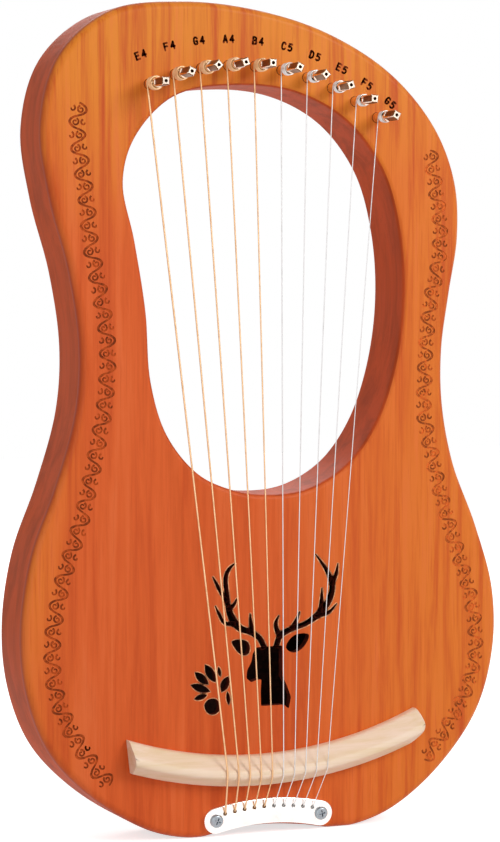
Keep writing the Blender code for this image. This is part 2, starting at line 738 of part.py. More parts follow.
def build_harp():
    clear_scene()
    front_wood = make_material("stained_front", (0.72, 0.20, 0.035), 0.35)
    side_wood = make_material("stained_sides", (0.36, 0.075, 0.05), 0.4)
    brace_wood = make_material("spruce", (0.72, 0.52, 0.30), 0.7)
    maple = make_material("maple", (0.84, 0.68, 0.42), 0.5)
    nickel = make_material("nickel", (0.86, 0.85, 0.84), 0.22, 1.0)
    steel = make_material("pin_steel", (0.75, 0.73, 0.70), 0.25, 1.0)
    bronze = make_material("bronze", (0.78, 0.42, 0.18), 0.35, 1.0)
    plain = make_material("string_steel", (0.70, 0.70, 0.70), 0.3, 1.0)

    outline = stand_and_centre(smooth_loop(in_metres(OUTLINE), OUTLINE_STEPS))
    opening = smooth_loop(in_metres(OPENING), OPENING_STEPS)
    opening_cutter = make_opening_cutter(opening)
    make_soundboard(outline, opening_cutter, front_wood)
    make_back(outline, opening_cutter, side_wood)
    make_frame(outline, opening_cutter, side_wood)
    make_brace("soundboard_brace", FRONT_BRACE_Z, FRONT_BRACE_LENGTH, FRAME_FRONT, 1, brace_wood)
    make_brace("back_brace", BACK_BRACE_Z, BACK_BRACE_LENGTH, FRAME_BACK, -1, brace_wood)
    make_bridge(maple)
    make_tail_plate(nickel)
    make_screw("tail_screw_left", -1, steel)
    make_screw("tail_screw_right", 1, steel)
    for number in range(STRINGS):
        metal = bronze if number < STRINGS / 2 else plain
        make_pin(number, steel)
        make_string(number, metal)
        make_winding(number, metal)


build_harp()
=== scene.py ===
"""The finish of a ten-string lyre harp: its wood, engraving, bridge, metalwork and strings.

X runs to the right of someone who looks at the front, the front face looks along -Y, and +Z is up.
Every size is in metres, and the harp stands on the floor at Z = 0.
"""

import json
import math

import bmesh
import bpy
from bpy.props import FloatProperty, FloatVectorProperty, IntProperty, PointerProperty
from bpy.types import Operator, Panel, PropertyGroup
from mathutils import Matrix, Vector
from mathutils.kdtree import KDTree


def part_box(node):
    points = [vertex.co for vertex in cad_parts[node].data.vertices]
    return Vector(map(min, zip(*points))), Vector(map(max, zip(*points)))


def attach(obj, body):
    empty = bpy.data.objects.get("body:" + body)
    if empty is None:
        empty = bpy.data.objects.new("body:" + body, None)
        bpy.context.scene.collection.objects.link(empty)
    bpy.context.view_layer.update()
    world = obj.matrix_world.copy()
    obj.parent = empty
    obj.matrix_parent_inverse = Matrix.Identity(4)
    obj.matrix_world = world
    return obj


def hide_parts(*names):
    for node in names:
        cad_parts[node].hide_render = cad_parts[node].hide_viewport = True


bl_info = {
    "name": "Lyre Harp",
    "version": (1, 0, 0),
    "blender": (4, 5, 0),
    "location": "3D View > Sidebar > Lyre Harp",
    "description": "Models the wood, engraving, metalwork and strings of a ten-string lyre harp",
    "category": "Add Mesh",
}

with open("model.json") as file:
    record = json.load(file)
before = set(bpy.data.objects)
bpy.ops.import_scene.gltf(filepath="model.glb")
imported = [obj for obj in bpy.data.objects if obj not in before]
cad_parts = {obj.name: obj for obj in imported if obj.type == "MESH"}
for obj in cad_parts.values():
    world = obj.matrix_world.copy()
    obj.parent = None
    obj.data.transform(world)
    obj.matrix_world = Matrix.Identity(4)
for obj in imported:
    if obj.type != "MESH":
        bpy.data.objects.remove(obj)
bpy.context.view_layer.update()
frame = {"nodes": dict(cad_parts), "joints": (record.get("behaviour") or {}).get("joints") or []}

MM = 0.001
HARP = "harp"
NAMES = ("E4", "F4", "G4", "A4", "B4", "C5", "D5", "E5", "F5", "G5")
STRINGS = len(NAMES)
WOUND_STRINGS = 5

# Planes of the wooden body, read from the frame
FRONT_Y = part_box("soundboard")[0].y
BACK_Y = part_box("back_plate")[1].y
FRONT_SEAM_Y = (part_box("soundboard")[1].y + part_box("yoke")[0].y) / 2
BACK_SEAM_Y = (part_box("back_plate")[0].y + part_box("yoke")[1].y) / 2
YOKE_LINE = (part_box("yoke")[0].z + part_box("left_arm")[1].z) / 2
ARM_LINE = (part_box("left_arm")[0].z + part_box("left_rim")[1].z) / 2
RIM_SPLIT = (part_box("right_rim")[0].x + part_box("tail_block")[1].x) / 2
CHAMBER_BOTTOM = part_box("tail_block")[1].z
CHAMBER_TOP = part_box("opening_rail")[0].z
PIN_AXES = [Vector(joint["pos_m"]) for joint in frame["joints"]]
BEYOND = 20 * MM
RIM_WALL = 9 * MM

# Outline of the body, from the middle of the notch round to the right, in millimetres
OUTLINE = (
    (0, 3.9), (19.9, 2.3), (33.9, 0), (48.4, 0.4), (69.5, 7.4), (95, 26.4), (116.3, 54.1),
    (125.4, 85), (125, 115.8), (115.4, 148.1), (102.5, 180), (96.4, 209.8), (96, 237.3),
    (100, 265), (104.6, 293.3), (103, 320.7), (91.9, 347.4), (68, 373.4), (33.2, 392.6),
    (-4.9, 402.5), (-43, 405), (-79.9, 399.3), (-105.5, 377.1), (-114.8, 344.6), (-110.3, 310.4),
    (-100.7, 275.2), (-95.5, 239.3), (-97.5, 208), (-107.8, 172.5), (-119.9, 140.1), (-125.2, 105.6),
    (-122.7, 75.1), (-111.7, 46.5), (-91.2, 24.2), (-64.2, 6.7), (-48, 1.3), (-34, 0), (-19.9, 2.7),
)

# Outline of the through opening, from its lowest point round to the right, in millimetres
OPENING = (
    (-1, 166.6), (21.8, 168.7), (42.9, 180.1), (58.4, 199.8), (68.9, 227.8), (73.8, 262),
    (71.4, 296.1), (62.1, 326), (42.7, 349.7), (15.9, 362.8), (-16, 365.6), (-47.7, 359.4),
    (-67.8, 339.2), (-73.8, 318), (-68.1, 290.4), (-62.4, 256.2), (-59.8, 222.2), (-51.6, 196.7),
    (-35.6, 177.7), (-18.4, 169.6),
)
CURVE_STEPS = 9

# Sound hole, in millimetres on the front face. A stroke's points carry half its width.
HEAD = (
    (-5.5, 92), (8.1, 92.3), (8.2, 77), (10.5, 72.6), (12.8, 66.6), (11.6, 60.8), (9, 63), (-3.2, 63),
    (-3.4, 70), (-3, 76.2), (-5.5, 76), (-8.4, 74.9), (-10.9, 77), (-10.6, 80.8), (-8.3, 85),
    (-7.6, 89),
)
RIGHT_EAR = ((10.1, 91), (11.6, 94.6), (15.6, 97.4), (22.4, 96.9), (19.6, 91), (14, 88.4))
LEFT_EAR = ((-18.6, 95.4), (-13.6, 88.6), (-10, 88.9), (-9, 91.5), (-10.2, 94.9), (-14, 96.2))
PETAL = ((-33, 65), (-31.6, 61.4), (-28.4, 60.1), (-25.4, 61.6), (-24.9, 65), (-27, 67.8), (-31, 67.6))
LEAVES = (
    ((-32.6, 85), (-27, 75.8), 4.4), ((-38, 81.4), (-30.8, 75), 4.0),
    ((-40.2, 75.4), (-29.8, 71.4), 3.8), ((-38.4, 68.2), (-31.4, 70), 2.8),
    ((-20.4, 78.6), (-24, 70.8), 4.4), ((-25.6, 83.6), (-24.6, 78.4), 1.8),
    ((-20.9, 71.2), (-20.1, 64.4), 2.1),
)
RIGHT_BEAM = (
    (4.6, 91, 1.5), (7, 96.9, 1.5), (12.5, 100, 1.4), (20.7, 102.5, 1.3), (27.1, 106.5, 1.7),
    (32.3, 112, 1.7), (34.8, 118, 1.6), (34.6, 122.6, 1.5), (31.6, 129, 1.0), (25.9, 136.6, 0.3),
)
LEFT_BEAM = (
    (-1.2, 91, 1.5), (-4, 96.4, 1.4), (-9, 99.7, 1.4), (-14.3, 101.8, 1.7), (-18.2, 106.4, 1.9),
    (-20.4, 112, 1.5), (-21.2, 119, 1.2), (-21.8, 126.6, 1.2), (-20, 131, 0.9), (-16.6, 133.8, 0.3),
)
TINES = (
    ((34.6, 121, 1.2), (37.1, 126.5, 1.0), (38.1, 131.7, 0.3)),
    ((26, 105.6, 0.9), (32.9, 107.4, 0.9), (37.5, 111.7, 0.3)),
    ((13, 100.2, 1.2), (15.7, 104.3, 1.0), (17.5, 108.7, 0.3)),
    ((-20.6, 111, 1.0), (-17.6, 113.2, 0.9), (-15.7, 116.6, 0.3)),
    ((-16.4, 103.8, 1.0), (-22.5, 104.8, 0.9), (-25, 108.7, 0.8), (-27.3, 113.3, 0.3)),
    ((28.4, 107.6, 1.2), (29.3, 114.2, 1.0), (29.4, 119.9, 0.3)),
    ((7, 96.4, 1.4), (5, 100.8, 1.2), (4.8, 103.8, 1.0), (6.4, 107.2, 0.3)),
    ((-7.6, 98.6, 1.3), (-8.4, 103.2, 1.1), (-9, 108.9, 0.3)),
    ((-20.9, 115, 1.0), (-24.4, 119.8, 0.9), (-26.4, 123.6, 0.8), (-28.6, 127.6, 0.3)),
)

# A shallow pale step round each sound hole cut. Its pale colour is painted highlight on the cut's edge.
HIGHLIGHT_RIM_LINE = 0.45 * MM
HIGHLIGHT_RIM_DEPTH = 0.15 * MM

# Middle lines of the two engraved vines, in millimetres, from the top down
LEFT_VINE = (
    (-96.2, 355), (-97.4, 342), (-95.7, 328.4), (-93.7, 315.2), (-92.3, 304), (-91.1, 290),
    (-87.6, 271.8), (-82.6, 241.9), (-83.7, 214), (-88.8, 187.1), (-96.1, 156.2), (-105.3, 128.2),
    (-110.5, 99.1), (-108.6, 73.9), (-97.4, 49.5), (-82.1, 29.1),
)
RIGHT_VINE = (
    (87.9, 336), (91.2, 316), (93.6, 298), (92.6, 280), (88.6, 262), (86, 240), (85.3, 223),
    (85, 205), (88, 190), (96.5, 157), (105.7, 129.9), (112.4, 106.8), (114, 83.7), (107.6, 61.8),
    (93.9, 40.9), (85.8, 30.9),
)
VINE_PITCH = 6.2 * MM

# Note names, on an arc over the pins, each leaning outwards. A glyph's lines are in units that
# give it a height of 4.
NAME_CENTRE = (-16.7 * MM, 253.6 * MM)
NAME_RADIUS = 134 * MM
FIRST_NAME = math.radians(-21.3)
NAME_STEP = math.radians(6.6)
PEN_HALF = 0.48 * MM
GLYPH_WIDTH = 2.2
GLYPH_RISE = 4
GLYPH_PITCH = 4.2
GLYPHS = {
    "A": (((0, 0), (1.1, 4), (2.2, 0)), ((0.4, 1.3), (1.8, 1.3))),
    "B": (((0, 0), (0, 4), (1.2, 4), (1.9, 3.6), (1.9, 2.6), (1.2, 2.1), (0, 2.1)),
          ((1.2, 2.1), (2.1, 1.6), (2.1, 0.5), (1.3, 0), (0, 0))),
    "C": (((2.1, 3.3), (1.6, 3.9), (0.8, 4), (0.2, 3.4), (0, 2), (0.2, 0.6), (0.8, 0), (1.6, 0.1),
           (2.1, 0.7)),),
    "D": (((0, 0), (0, 4), (1, 4), (1.8, 3.4), (2.1, 2), (1.8, 0.6), (1, 0), (0, 0)),),
    "E": (((2, 4), (0, 4), (0, 0), (2, 0)), ((0, 2.1), (1.7, 2.1))),
    "F": (((2, 4), (0, 4), (0, 0)), ((0, 2.1), (1.7, 2.1))),
    "G": (((2.1, 3.3), (1.6, 3.9), (0.8, 4), (0.2, 3.4), (0, 2), (0.2, 0.6), (0.8, 0), (1.6, 0.1),
           (2.1, 0.6), (2.1, 1.8), (1.2, 1.8)),),
    "4": (((1.6, 0), (1.6, 4), (0, 1.3), (2.2, 1.3)),),
    "5": (((2, 4), (0.3, 4), (0.2, 2.3), (1.2, 2.5), (2, 2), (2.1, 1.2), (1.8, 0.4), (1, 0),
           (0, 0.3)),),
}

# Strings, the lowest note first, and the pins that they are wound on
STRING_GAUGES = tuple(gauge * MM for gauge in (0.9, 0.85, 0.8, 0.75, 0.7, 0.55, 0.5, 0.48, 0.45, 0.42))
STRINGS_X = 1 * MM
BRIDGE_PITCH = 5.9 * MM
HUG_ANGLE = math.radians(150)
HUG_POINTS = 14
PIN_TURN = math.radians(23)
PIN_RADIUS = 2.5 * MM
PIN_PROUD = FRONT_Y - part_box("tuning_pin_1")[0].y
PIN_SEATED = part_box("tuning_pin_1")[1].y - FRONT_Y
PIN_CHAMFER = 0.45 * MM
SQUARE_START = 13.5 * MM
SQUARE_HALF = 2.1 * MM
SQUARE_TIP_HALF = 1.85 * MM
BORE_CLEARANCE = 0.15 * MM
EYE_HEIGHT = 11.6 * MM
EYE_RADIUS = 0.95 * MM
EYE_LIFT = 1.3 * MM
FRAME_TURNS = 3
FRAME_TURN_GAP = 0.45 * MM
WIRE_CLEARANCE = 0.06 * MM

# Bridge: an arc of hardwood, higher at its ends and a little higher on the right
BRIDGE_X = 3.8 * MM
BRIDGE_Z = 32.3 * MM
BRIDGE_RADIUS = 216 * MM
BRIDGE_TILT = math.radians(2.6)
BRIDGE_WIDTH = 15 * MM
BRIDGE_HEIGHT = FRONT_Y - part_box("bridge")[0].y
BRIDGE_EDGE = 4.5 * MM
CREST_WIDTH = 3 * MM
CREST_OFFSET = -1 * MM
CREST_SPARE = 0.3 * MM

# The bridge's blank and its ends: sawn almost upright on the left, rounded off on the right
BLANK_HALF_LENGTH = 86 * MM
LEFT_END = -77.5 * MM
LEFT_END_LEAN = math.radians(6.4)
ROUND_END = 67.7 * MM
ROUND_END_RADIUS = 13 * MM

# Tail plate and its screws
PLATE_RADIUS = 120 * MM
PLATE_Z = 11.7 * MM
PLATE_HALF_WIDTH = 6.3 * MM
PLATE_TOP = FRONT_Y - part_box("tail_plate")[0].y
SCREW_SPACING = 56 * MM
HOLE_PITCH = 5.1 * MM
HOLE_RISE = 2.2 * MM
HOLE_RADIUS = 0.95 * MM
BALL_RADIUS = 1.6 * MM
BALL_LENGTH = 2.2 * MM
POCKET_DEPTH = 3 * MM
POCKET_MARGIN = 0.8 * MM
SCREW_RADIUS = 1.4 * MM
SCREW_CLEARANCE = 0.2 * MM
SCREW_LENGTH = 15 * MM
SCREW_HEAD_RADIUS = 3.3 * MM
SCREW_HEAD_HEIGHT = 1.6 * MM
SHADE_ANGLE = math.radians(32)


def from_srgb(red, green, blue):
    """A colour as the eye picks it, 0 to 255, as the linear values that a shader takes."""
    linear = []
    for value in (red, green, blue):
        share = value / 255
        linear.append(share / 12.92 if share <= 0.04045 else ((share + 0.055) / 1.055) ** 2.4)
    return tuple(linear)


def colour_setting(name, description, red, green, blue):
    """A colour that a user can change, with its default as the eye picks it."""
    return FloatVectorProperty(
        name=name, description=description, subtype="COLOR", size=3, min=0, max=1,
        default=from_srgb(red, green, blue))


def length_setting(name, description, default, low, high):
    return FloatProperty(
        name=name, description=description, default=default, min=low, max=high, unit="LENGTH")


class HarpSizes(PropertyGroup):
    front_round: length_setting(
        "Front Edge", "Radius of the front board's outer edge",
        4 * MM, 0.5 * MM, 4.4 * MM)
    back_round: length_setting(
        "Back Edge", "Radius of the back board's outer edge",
        3 * MM, 0.5 * MM, 3.8 * MM)
    opening_round: length_setting(
        "Opening Edge", "Radius of the opening's edges at the front and back",
        2.5 * MM, 0.5 * MM, 3.5 * MM)
    engraving_depth: length_setting(
        "Engraving Depth", "Depth of the engraved vines and note names",
        0.35 * MM, 0.1 * MM, 1 * MM)
    vine_swing: length_setting(
        "Vine Swing", "How far the vine's stem swings to each side",
        3.9 * MM, 1 * MM, 5 * MM)
    letter_height: length_setting(
        "Letter Height", "Height of the note names",
        3.3 * MM, 2 * MM, 6 * MM)
    winding_pitch: length_setting(
        "Winding Pitch", "Width of one turn of the bronze wire on a wound string",
        0.32 * MM, 0.1 * MM, 1 * MM)
    round_segments: IntProperty(
        name="Edge Segments", description="Segments across each rounded edge of the boards",
        default=6, min=2, max=12)


class HarpColours(PropertyGroup):
    # Along the front's left and right edges this amber is painted highlight, not stain.
    amber: colour_setting("Amber", "Stain at the top and along the edges of the front", 232, 138, 42)
    ember: colour_setting("Ember", "Redder stain over the middle and foot of the front", 222, 98, 42)
    sides: colour_setting("Sides", "Stain of the sides, the opening's wall and the back", 214, 90, 44)
    burnt: colour_setting("Burnt Line", "Floor of the left vine's lines", 156, 66, 22)
    scorched: colour_setting(
        "Scorched Line", "Floor of the right vine's lines, burnt less", 184, 88, 34)
    inked: colour_setting("Note Names", "Lines of the note names", 140, 58, 24)
    # This pale rim is painted highlight, standing for the light caught on the edges of the cuts, not
    # sanded wood.
    bare_rim: colour_setting("Bare Rim", "Sanded rim round the sound hole's cuts", 216, 146, 104)
    char: colour_setting("Char", "Cut walls of the sound hole", 84, 26, 12)
    # This near black is painted shade for the inside of the sound chamber, which is dark from shadow,
    # not from a finish.
    chamber: colour_setting("Chamber", "Dark shellac on the inside of the sound chamber", 44, 18, 12)
    maple: colour_setting("Bridge Wood", "Pale hardwood of the bridge", 252, 233, 204)
    spruce: colour_setting("Brace Wood", "Unfinished wood of the braces", 216, 180, 126)
    nickel: colour_setting("Nickel", "Bright plating of the tail plate", 246, 243, 240)
    pin_metal: colour_setting("Pin Plating", "Plating of the tuning pins", 244, 224, 206)
    pin_flats: colour_setting("Pin Flats", "Dulled metal of the pins' milled heads", 126, 88, 58)
    zinc: colour_setting("Zinc", "Plating of the screws", 150, 158, 164)
    bronze: colour_setting("Bronze", "Wire of the wound strings", 240, 198, 152)
    wire: colour_setting("Steel Wire", "Plain strings", 214, 214, 214)


def sizes():
    return bpy.context.scene.harp_sizes


def colours():
    return bpy.context.scene.harp_colours


# Flat shapes: a loop is a list of (x, z) that runs anticlockwise, seen from the front

def in_metres(points):
    return [tuple(value * MM for value in point) for point in points]


def catmull_rom(a, b, c, d, steps):
    """Points from b towards c on a centripetal Catmull-Rom curve, without c itself."""
    a, b, c, d = (Vector(point) for point in (a, b, c, d))
    knot_b = max((b - a).length, 1e-9) ** 0.5
    knot_c = knot_b + max((c - b).length, 1e-9) ** 0.5
    knot_d = knot_c + max((d - c).length, 1e-9) ** 0.5
    points = []
    for step in range(steps):
        t = knot_b + (knot_c - knot_b) * step / steps
        ab = a.lerp(b, t / knot_b)
        bc = b.lerp(c, (t - knot_b) / (knot_c - knot_b))
        cd = c.lerp(d, (t - knot_c) / (knot_d - knot_c))
        abc = ab.lerp(bc, t / knot_c)
        bcd = bc.lerp(cd, (t - knot_b) / (knot_d - knot_b))
        points.append(tuple(abc.lerp(bcd, (t - knot_b) / (knot_c - knot_b))))
    return points


def smooth_loop(points, steps):
    count = len(points)
    loop = []
    for i in range(count):
        loop += catmull_rom(*(points[(i + k) % count] for k in (-1, 0, 1, 2)), steps)
    return loop


def smooth_path(points, steps):
    """An open curve through the points, whose ends run on straight."""
    first = [2 * a - b for a, b in zip(points[0], points[1])]
    last = [2 * a - b for a, b in zip(points[-1], points[-2])]
    padded = [first, *points, last]
    path = []
    for i in range(1, len(points)):
        path += catmull_rom(*padded[i - 1:i + 3], steps)
    return path + [tuple(points[-1])]


def soften(loop, radius, steps):
    """The loop with each corner rounded, as a router bit of that radius leaves it."""
    softened = []
    for i, corner in enumerate(loop):
        corner = Vector(corner)
        before = Vector(loop[i - 1])
        after = Vector(loop[(i + 1) % len(loop)])
        reach = min(radius, 0.45 * (before - corner).length, 0.45 * (after - corner).length)
        start = corner + (before - corner).normalized() * reach
        end = corner + (after - corner).normalized() * reach
        for step in range(steps + 1):
            t = step / steps
            softened.append(tuple(start.lerp(corner, t).lerp(corner.lerp(end, t), t)))
    return softened


def offset_loop(loop, distance):
    """The loop moved outwards by distance, or inwards where distance is below zero."""
    moved = []
    for i, (x, z) in enumerate(loop):
        before = loop[i - 1]
        after = loop[(i + 1) % len(loop)]
        across = after[0] - before[0]
        rise = after[1] - before[1]
        length = math.hypot(across, rise)
        moved.append((x + distance * rise / length, z - distance * across / length))
    return moved


def clip(loop, inside):
    """The part of the loop where inside(point) is above zero, closed along straight cuts."""
    kept = []
    for i, point in enumerate(loop):
        last = loop[i - 1]
        here = inside(point)
        there = inside(last)
        if (here > 0) != (there > 0):
            share = there / (there - here)
            kept.append(tuple(a + share * (b - a) for a, b in zip(last, point)))
        if here > 0:
            kept.append(point)
    return kept


def circle(x, z, radius, sides):
    turns = [2 * math.pi * i / sides for i in range(sides)]
    return [(x + radius * math.cos(turn), z + radius * math.sin(turn)) for turn in turns]


def stroke(points):
    """A tapering stroke along (x, z, half width), as a closed loop."""
    left = []
    right = []
    for i, (x, z, half) in enumerate(points):
        before = points[max(i - 1, 0)]
        after = points[min(i + 1, len(points) - 1)]
        along = Vector((after[0] - before[0], after[1] - before[1])).normalized()
        right.append((x + half * along.y, z - half * along.x))
        left.append((x - half * along.y, z + half * along.x))
    return right + left[::-1]


def leaf(start, end, width):
    """A pointed leaf from start to end, widest at its middle."""
    steps = 7
    start = Vector(start)
    along = Vector(end) - start
    side = Vector((along.y, -along.x)).normalized() * width / 2
    places = [(step / steps, math.sin(math.pi * step / steps) ** 0.8) for step in range(steps + 1)]
    right = [start + along * t + side * bulge for t, bulge in places]
    left = [start + along * t - side * bulge for t, bulge in places[-2:0:-1]]
    return [tuple(point) for point in right + left]


def body_loop():
    """The body's outline, which never goes below the floor."""
    return [(x, max(z, 0.0)) for x, z in smooth_loop(in_metres(OUTLINE), CURVE_STEPS)]


def opening_loop():
    return smooth_loop(in_metres(OPENING), CURVE_STEPS)


# Modelling steps

def select_only(piece):
    bpy.ops.object.select_all(action="DESELECT")
    piece.select_set(True)
    bpy.context.view_layer.objects.active = piece


def open_edit(piece, kind="EDGE"):
    select_only(piece)
    bpy.ops.object.mode_set(mode="EDIT")
    bpy.ops.mesh.select_mode(type=kind)
    bpy.ops.mesh.select_all(action="SELECT")


def close_edit():
    bpy.ops.object.mode_set(mode="OBJECT")


def pick(piece, kind, wanted):
    """In edit mode, selects the verts, edges or faces that are wanted, and counts them."""
    mesh = bmesh.from_edit_mesh(piece.data)
    for face in mesh.faces:
        face.select = False
    for edge in mesh.edges:
        edge.select = False
    for vertex in mesh.verts:
        vertex.select = False
    chosen = [item for item in getattr(mesh, kind) if wanted(item)]
    for item in chosen:
        item.select = True
    bmesh.update_edit_mesh(piece.data)
    return len(chosen)


def recalculate_outside():
    bpy.ops.mesh.select_all(action="SELECT")
    bpy.ops.mesh.normals_make_consistent(inside=False)


def add_object(name, data):
    made = bpy.data.objects.new(name, data)
    bpy.context.scene.collection.objects.link(made)
    return made


def flat_board(name, loops, front, back, material=None):
    """Flat pieces sawn to closed loops, from y = front to y = back, as one mesh."""
    corners = []
    faces = []
    for loop in loops:
        faces.append(range(len(corners), len(corners) + len(loop)))
        corners += [(x, front, z) for x, z in loop]
    mesh = bpy.data.meshes.new(name)
    mesh.from_pydata(corners, [], faces)
    board = add_object(name, mesh)
    if material:
        mesh.materials.append(material)
    open_edit(board, "FACE")
    bpy.ops.mesh.extrude_region_move(TRANSFORM_OT_translate={"value": (0, back - front, 0)})
    recalculate_outside()
    close_edit()
    return board


def apply_modifier(piece, kind, **settings):
    select_only(piece)
    step = piece.modifiers.new("step", kind)
    for name, value in settings.items():
        setattr(step, name, value)
    bpy.ops.object.modifier_apply(modifier=step.name)


def carve(piece, cutter, crossing=False):
    """Cuts the cutter out of the piece. The cut faces take the cutter's material."""
    apply_modifier(
        piece, "BOOLEAN", operation="DIFFERENCE", solver="EXACT", object=cutter,
        use_self=crossing, material_mode="TRANSFER")
    bpy.data.objects.remove(cutter)


def round_edges(piece, wanted, radius, segments, profile=0.5):
    open_edit(piece)
    if not pick(piece, "edges", wanted):
        raise RuntimeError(f"{piece.name} has no edge to round")
    bpy.ops.mesh.bevel(
        offset=radius, segments=segments, profile=profile, affect="EDGES", clamp_overlap=False)
    close_edit()


def in_plane(edge, y):
    return all(abs(vertex.co.y - y) < 1e-6 for vertex in edge.verts)


def near_loop(loop):
    """A test for edges whose two ends lie on the loop, also between its points."""
    between = 8
    tree = KDTree(between * len(loop))
    for i, point in enumerate(loop):
        last = Vector(loop[i - 1])
        for step in range(between):
            x, z = last.lerp(Vector(point), step / between)
            tree.insert((x, 0, z), i)
    tree.balance()

    def wanted(edge):
        ends = (Vector((vertex.co.x, 0, vertex.co.z)) for vertex in edge.verts)
        return all(tree.find(end)[2] < 0.3 * MM for end in ends)
    return wanted


def finish_surface(piece, angle=SHADE_ANGLE):
    """Smooth shading that keeps the sharp edges, with the flat faces kept flat."""
    select_only(piece)
    bpy.ops.object.shade_smooth_by_angle(angle=angle)
    apply_modifier(piece, "WEIGHTED_NORMAL", mode="FACE_AREA", keep_sharp=True, weight=100)


def clean_up(piece):
    """Joins the points that the cutters left double, and drops faces without an area."""
    open_edit(piece, "VERT")
    bpy.ops.mesh.remove_doubles(threshold=0.002 * MM)
    bpy.ops.mesh.dissolve_degenerate(threshold=0.002 * MM)
    close_edit()


def true_front(piece):
    """Gives every corner of the flat front face that face's own normal."""
    mesh = piece.data
    normals = [corner.vector.copy() for corner in mesh.corner_normals]
    for face in mesh.polygons:
        if face.normal.y < -0.9999:
            for corner in face.loop_indices:
                normals[corner] = Vector((0, -1, 0))
    mesh.normals_split_custom_set(normals)


def set_material(piece, material):
    piece.data.materials.clear()
    piece.data.materials.append(material)


def copy_piece(piece, name):
    made = add_object(name, piece.data.copy())
    made.data.name = name
    return made


def place(piece, matrix):
    """Moves the mesh itself, so that the object stays at the origin."""
    piece.data.transform(matrix)


def settle(piece):
    select_only(piece)
    bpy.ops.object.transform_apply(location=True, rotation=True, scale=True)


def hand_in(piece, body, slot, *nodes):
    """The piece rides on a body and stands for its nodes, which it hides. The slot is not used."""
    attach(piece, body)
    if nodes:
        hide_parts(*nodes)


# Materials

def add_node(tree, kind, **settings):
    made = tree.nodes.new(kind)
    for name, value in settings.items():
        setattr(made, name, value)
    return made


def feed(tree, socket, value):
    """Joins a socket to another node's output, or sets its plain value."""
    if isinstance(value, bpy.types.NodeSocket):
        tree.links.new(value, socket)
    elif value is not None:
        socket.default_value = value


def calculate(tree, operation, *values):
    made = add_node(tree, "ShaderNodeMath", operation=operation)
    for socket, value in zip(made.inputs, values):
        feed(tree, socket, value)
    return made.outputs["Value"]


def ramp(tree, value, low, high):
    """0 below low, 1 above high, and a smooth step between them."""
    made = add_node(tree, "ShaderNodeMapRange", interpolation_type="SMOOTHSTEP")
    feed(tree, made.inputs["Value"], value)
    made.inputs["From Min"].default_value = low
    made.inputs["From Max"].default_value = high
    return made.outputs["Result"]


def blend_colours(tree, share, first, second, blend="MIX"):
    """Sockets 6 and 7 of a Mix node are its two colours, and output 2 is the blended one."""
    made = add_node(tree, "ShaderNodeMix", data_type="RGBA", blend_type=blend)
    feed(tree, made.inputs["Factor"], share)
    feed(tree, made.inputs[6], first)
    feed(tree, made.inputs[7], second)
    return made.outputs[2]


def noise(tree, vector, scale, detail=4.0, roughness=0.5):
    made = add_node(tree, "ShaderNodeTexNoise")
    feed(tree, made.inputs["Vector"], vector)
    made.inputs["Scale"].default_value = scale
    made.inputs["Detail"].default_value = detail
    made.inputs["Roughness"].default_value = roughness
    return made.outputs["Fac"]


def mapped(tree, vector, location=(0, 0, 0), rotation=(0, 0, 0), scale=(1, 1, 1)):
    made = add_node(tree, "ShaderNodeMapping")
    feed(tree, made.inputs["Vector"], vector)
    made.inputs["Location"].default_value = location
    made.inputs["Rotation"].default_value = rotation
    made.inputs["Scale"].default_value = scale
    return made.outputs["Vector"]


def object_place(tree):
    return add_node(tree, "ShaderNodeTexCoord").outputs["Object"]


def rgba(colour):
    return (*colour, 1.0)


def new_group(name, inputs, outputs):
    """A node group with named sockets, given as (name, kind, default), and its two end nodes."""
    group = bpy.data.node_groups.new(name, "ShaderNodeTree")
    for title, kind, default in inputs:
        socket = group.interface.new_socket(name=title, in_out="INPUT", socket_type=kind)
        if default is not None:
            socket.default_value = default
    for title, kind in outputs:
        group.interface.new_socket(name=title, in_out="OUTPUT", socket_type=kind)
    start = group.nodes.new("NodeGroupInput")
    end = group.nodes.new("NodeGroupOutput")
    return group, start, end


def grain_group():
    """Long streaks, fine pores and a height, for wood whose grain runs along the given vector's Z."""
    name = "Wood Grain"
    if name in bpy.data.node_groups:
        return bpy.data.node_groups[name]
    group, start, end = new_group(
        name,
        [("Vector", "NodeSocketVector", None), ("Streak Scale", "NodeSocketFloat", 150.0),
         ("Pore Scale", "NodeSocketFloat", 900.0)],
        [("Streaks", "NodeSocketFloat"), ("Pores", "NodeSocketFloat"), ("Height", "NodeSocketFloat")])
    vector = start.outputs["Vector"]
    streaks = add_node(group, "ShaderNodeTexNoise")
    feed(group, streaks.inputs["Vector"], mapped(group, vector, scale=(1, 0.6, 0.045)))
    feed(group, streaks.inputs["Scale"], start.outputs["Streak Scale"])
    streaks.inputs["Detail"].default_value = 5
    streaks.inputs["Roughness"].default_value = 0.62
    streaks.inputs["Distortion"].default_value = 0.35
    pores = add_node(group, "ShaderNodeTexNoise")
    feed(group, pores.inputs["Vector"], mapped(group, vector, scale=(1, 1, 0.03)))
    feed(group, pores.inputs["Scale"], start.outputs["Pore Scale"])
    pores.inputs["Detail"].default_value = 3
    pore_mask = ramp(group, pores.outputs["Fac"], 0.56, 0.72)
    height = calculate(group, "SUBTRACT", streaks.outputs["Fac"], pore_mask)
    feed(group, end.inputs["Streaks"], streaks.outputs["Fac"])
    feed(group, end.inputs["Pores"], pore_mask)
    feed(group, end.inputs["Height"], height)
    return group


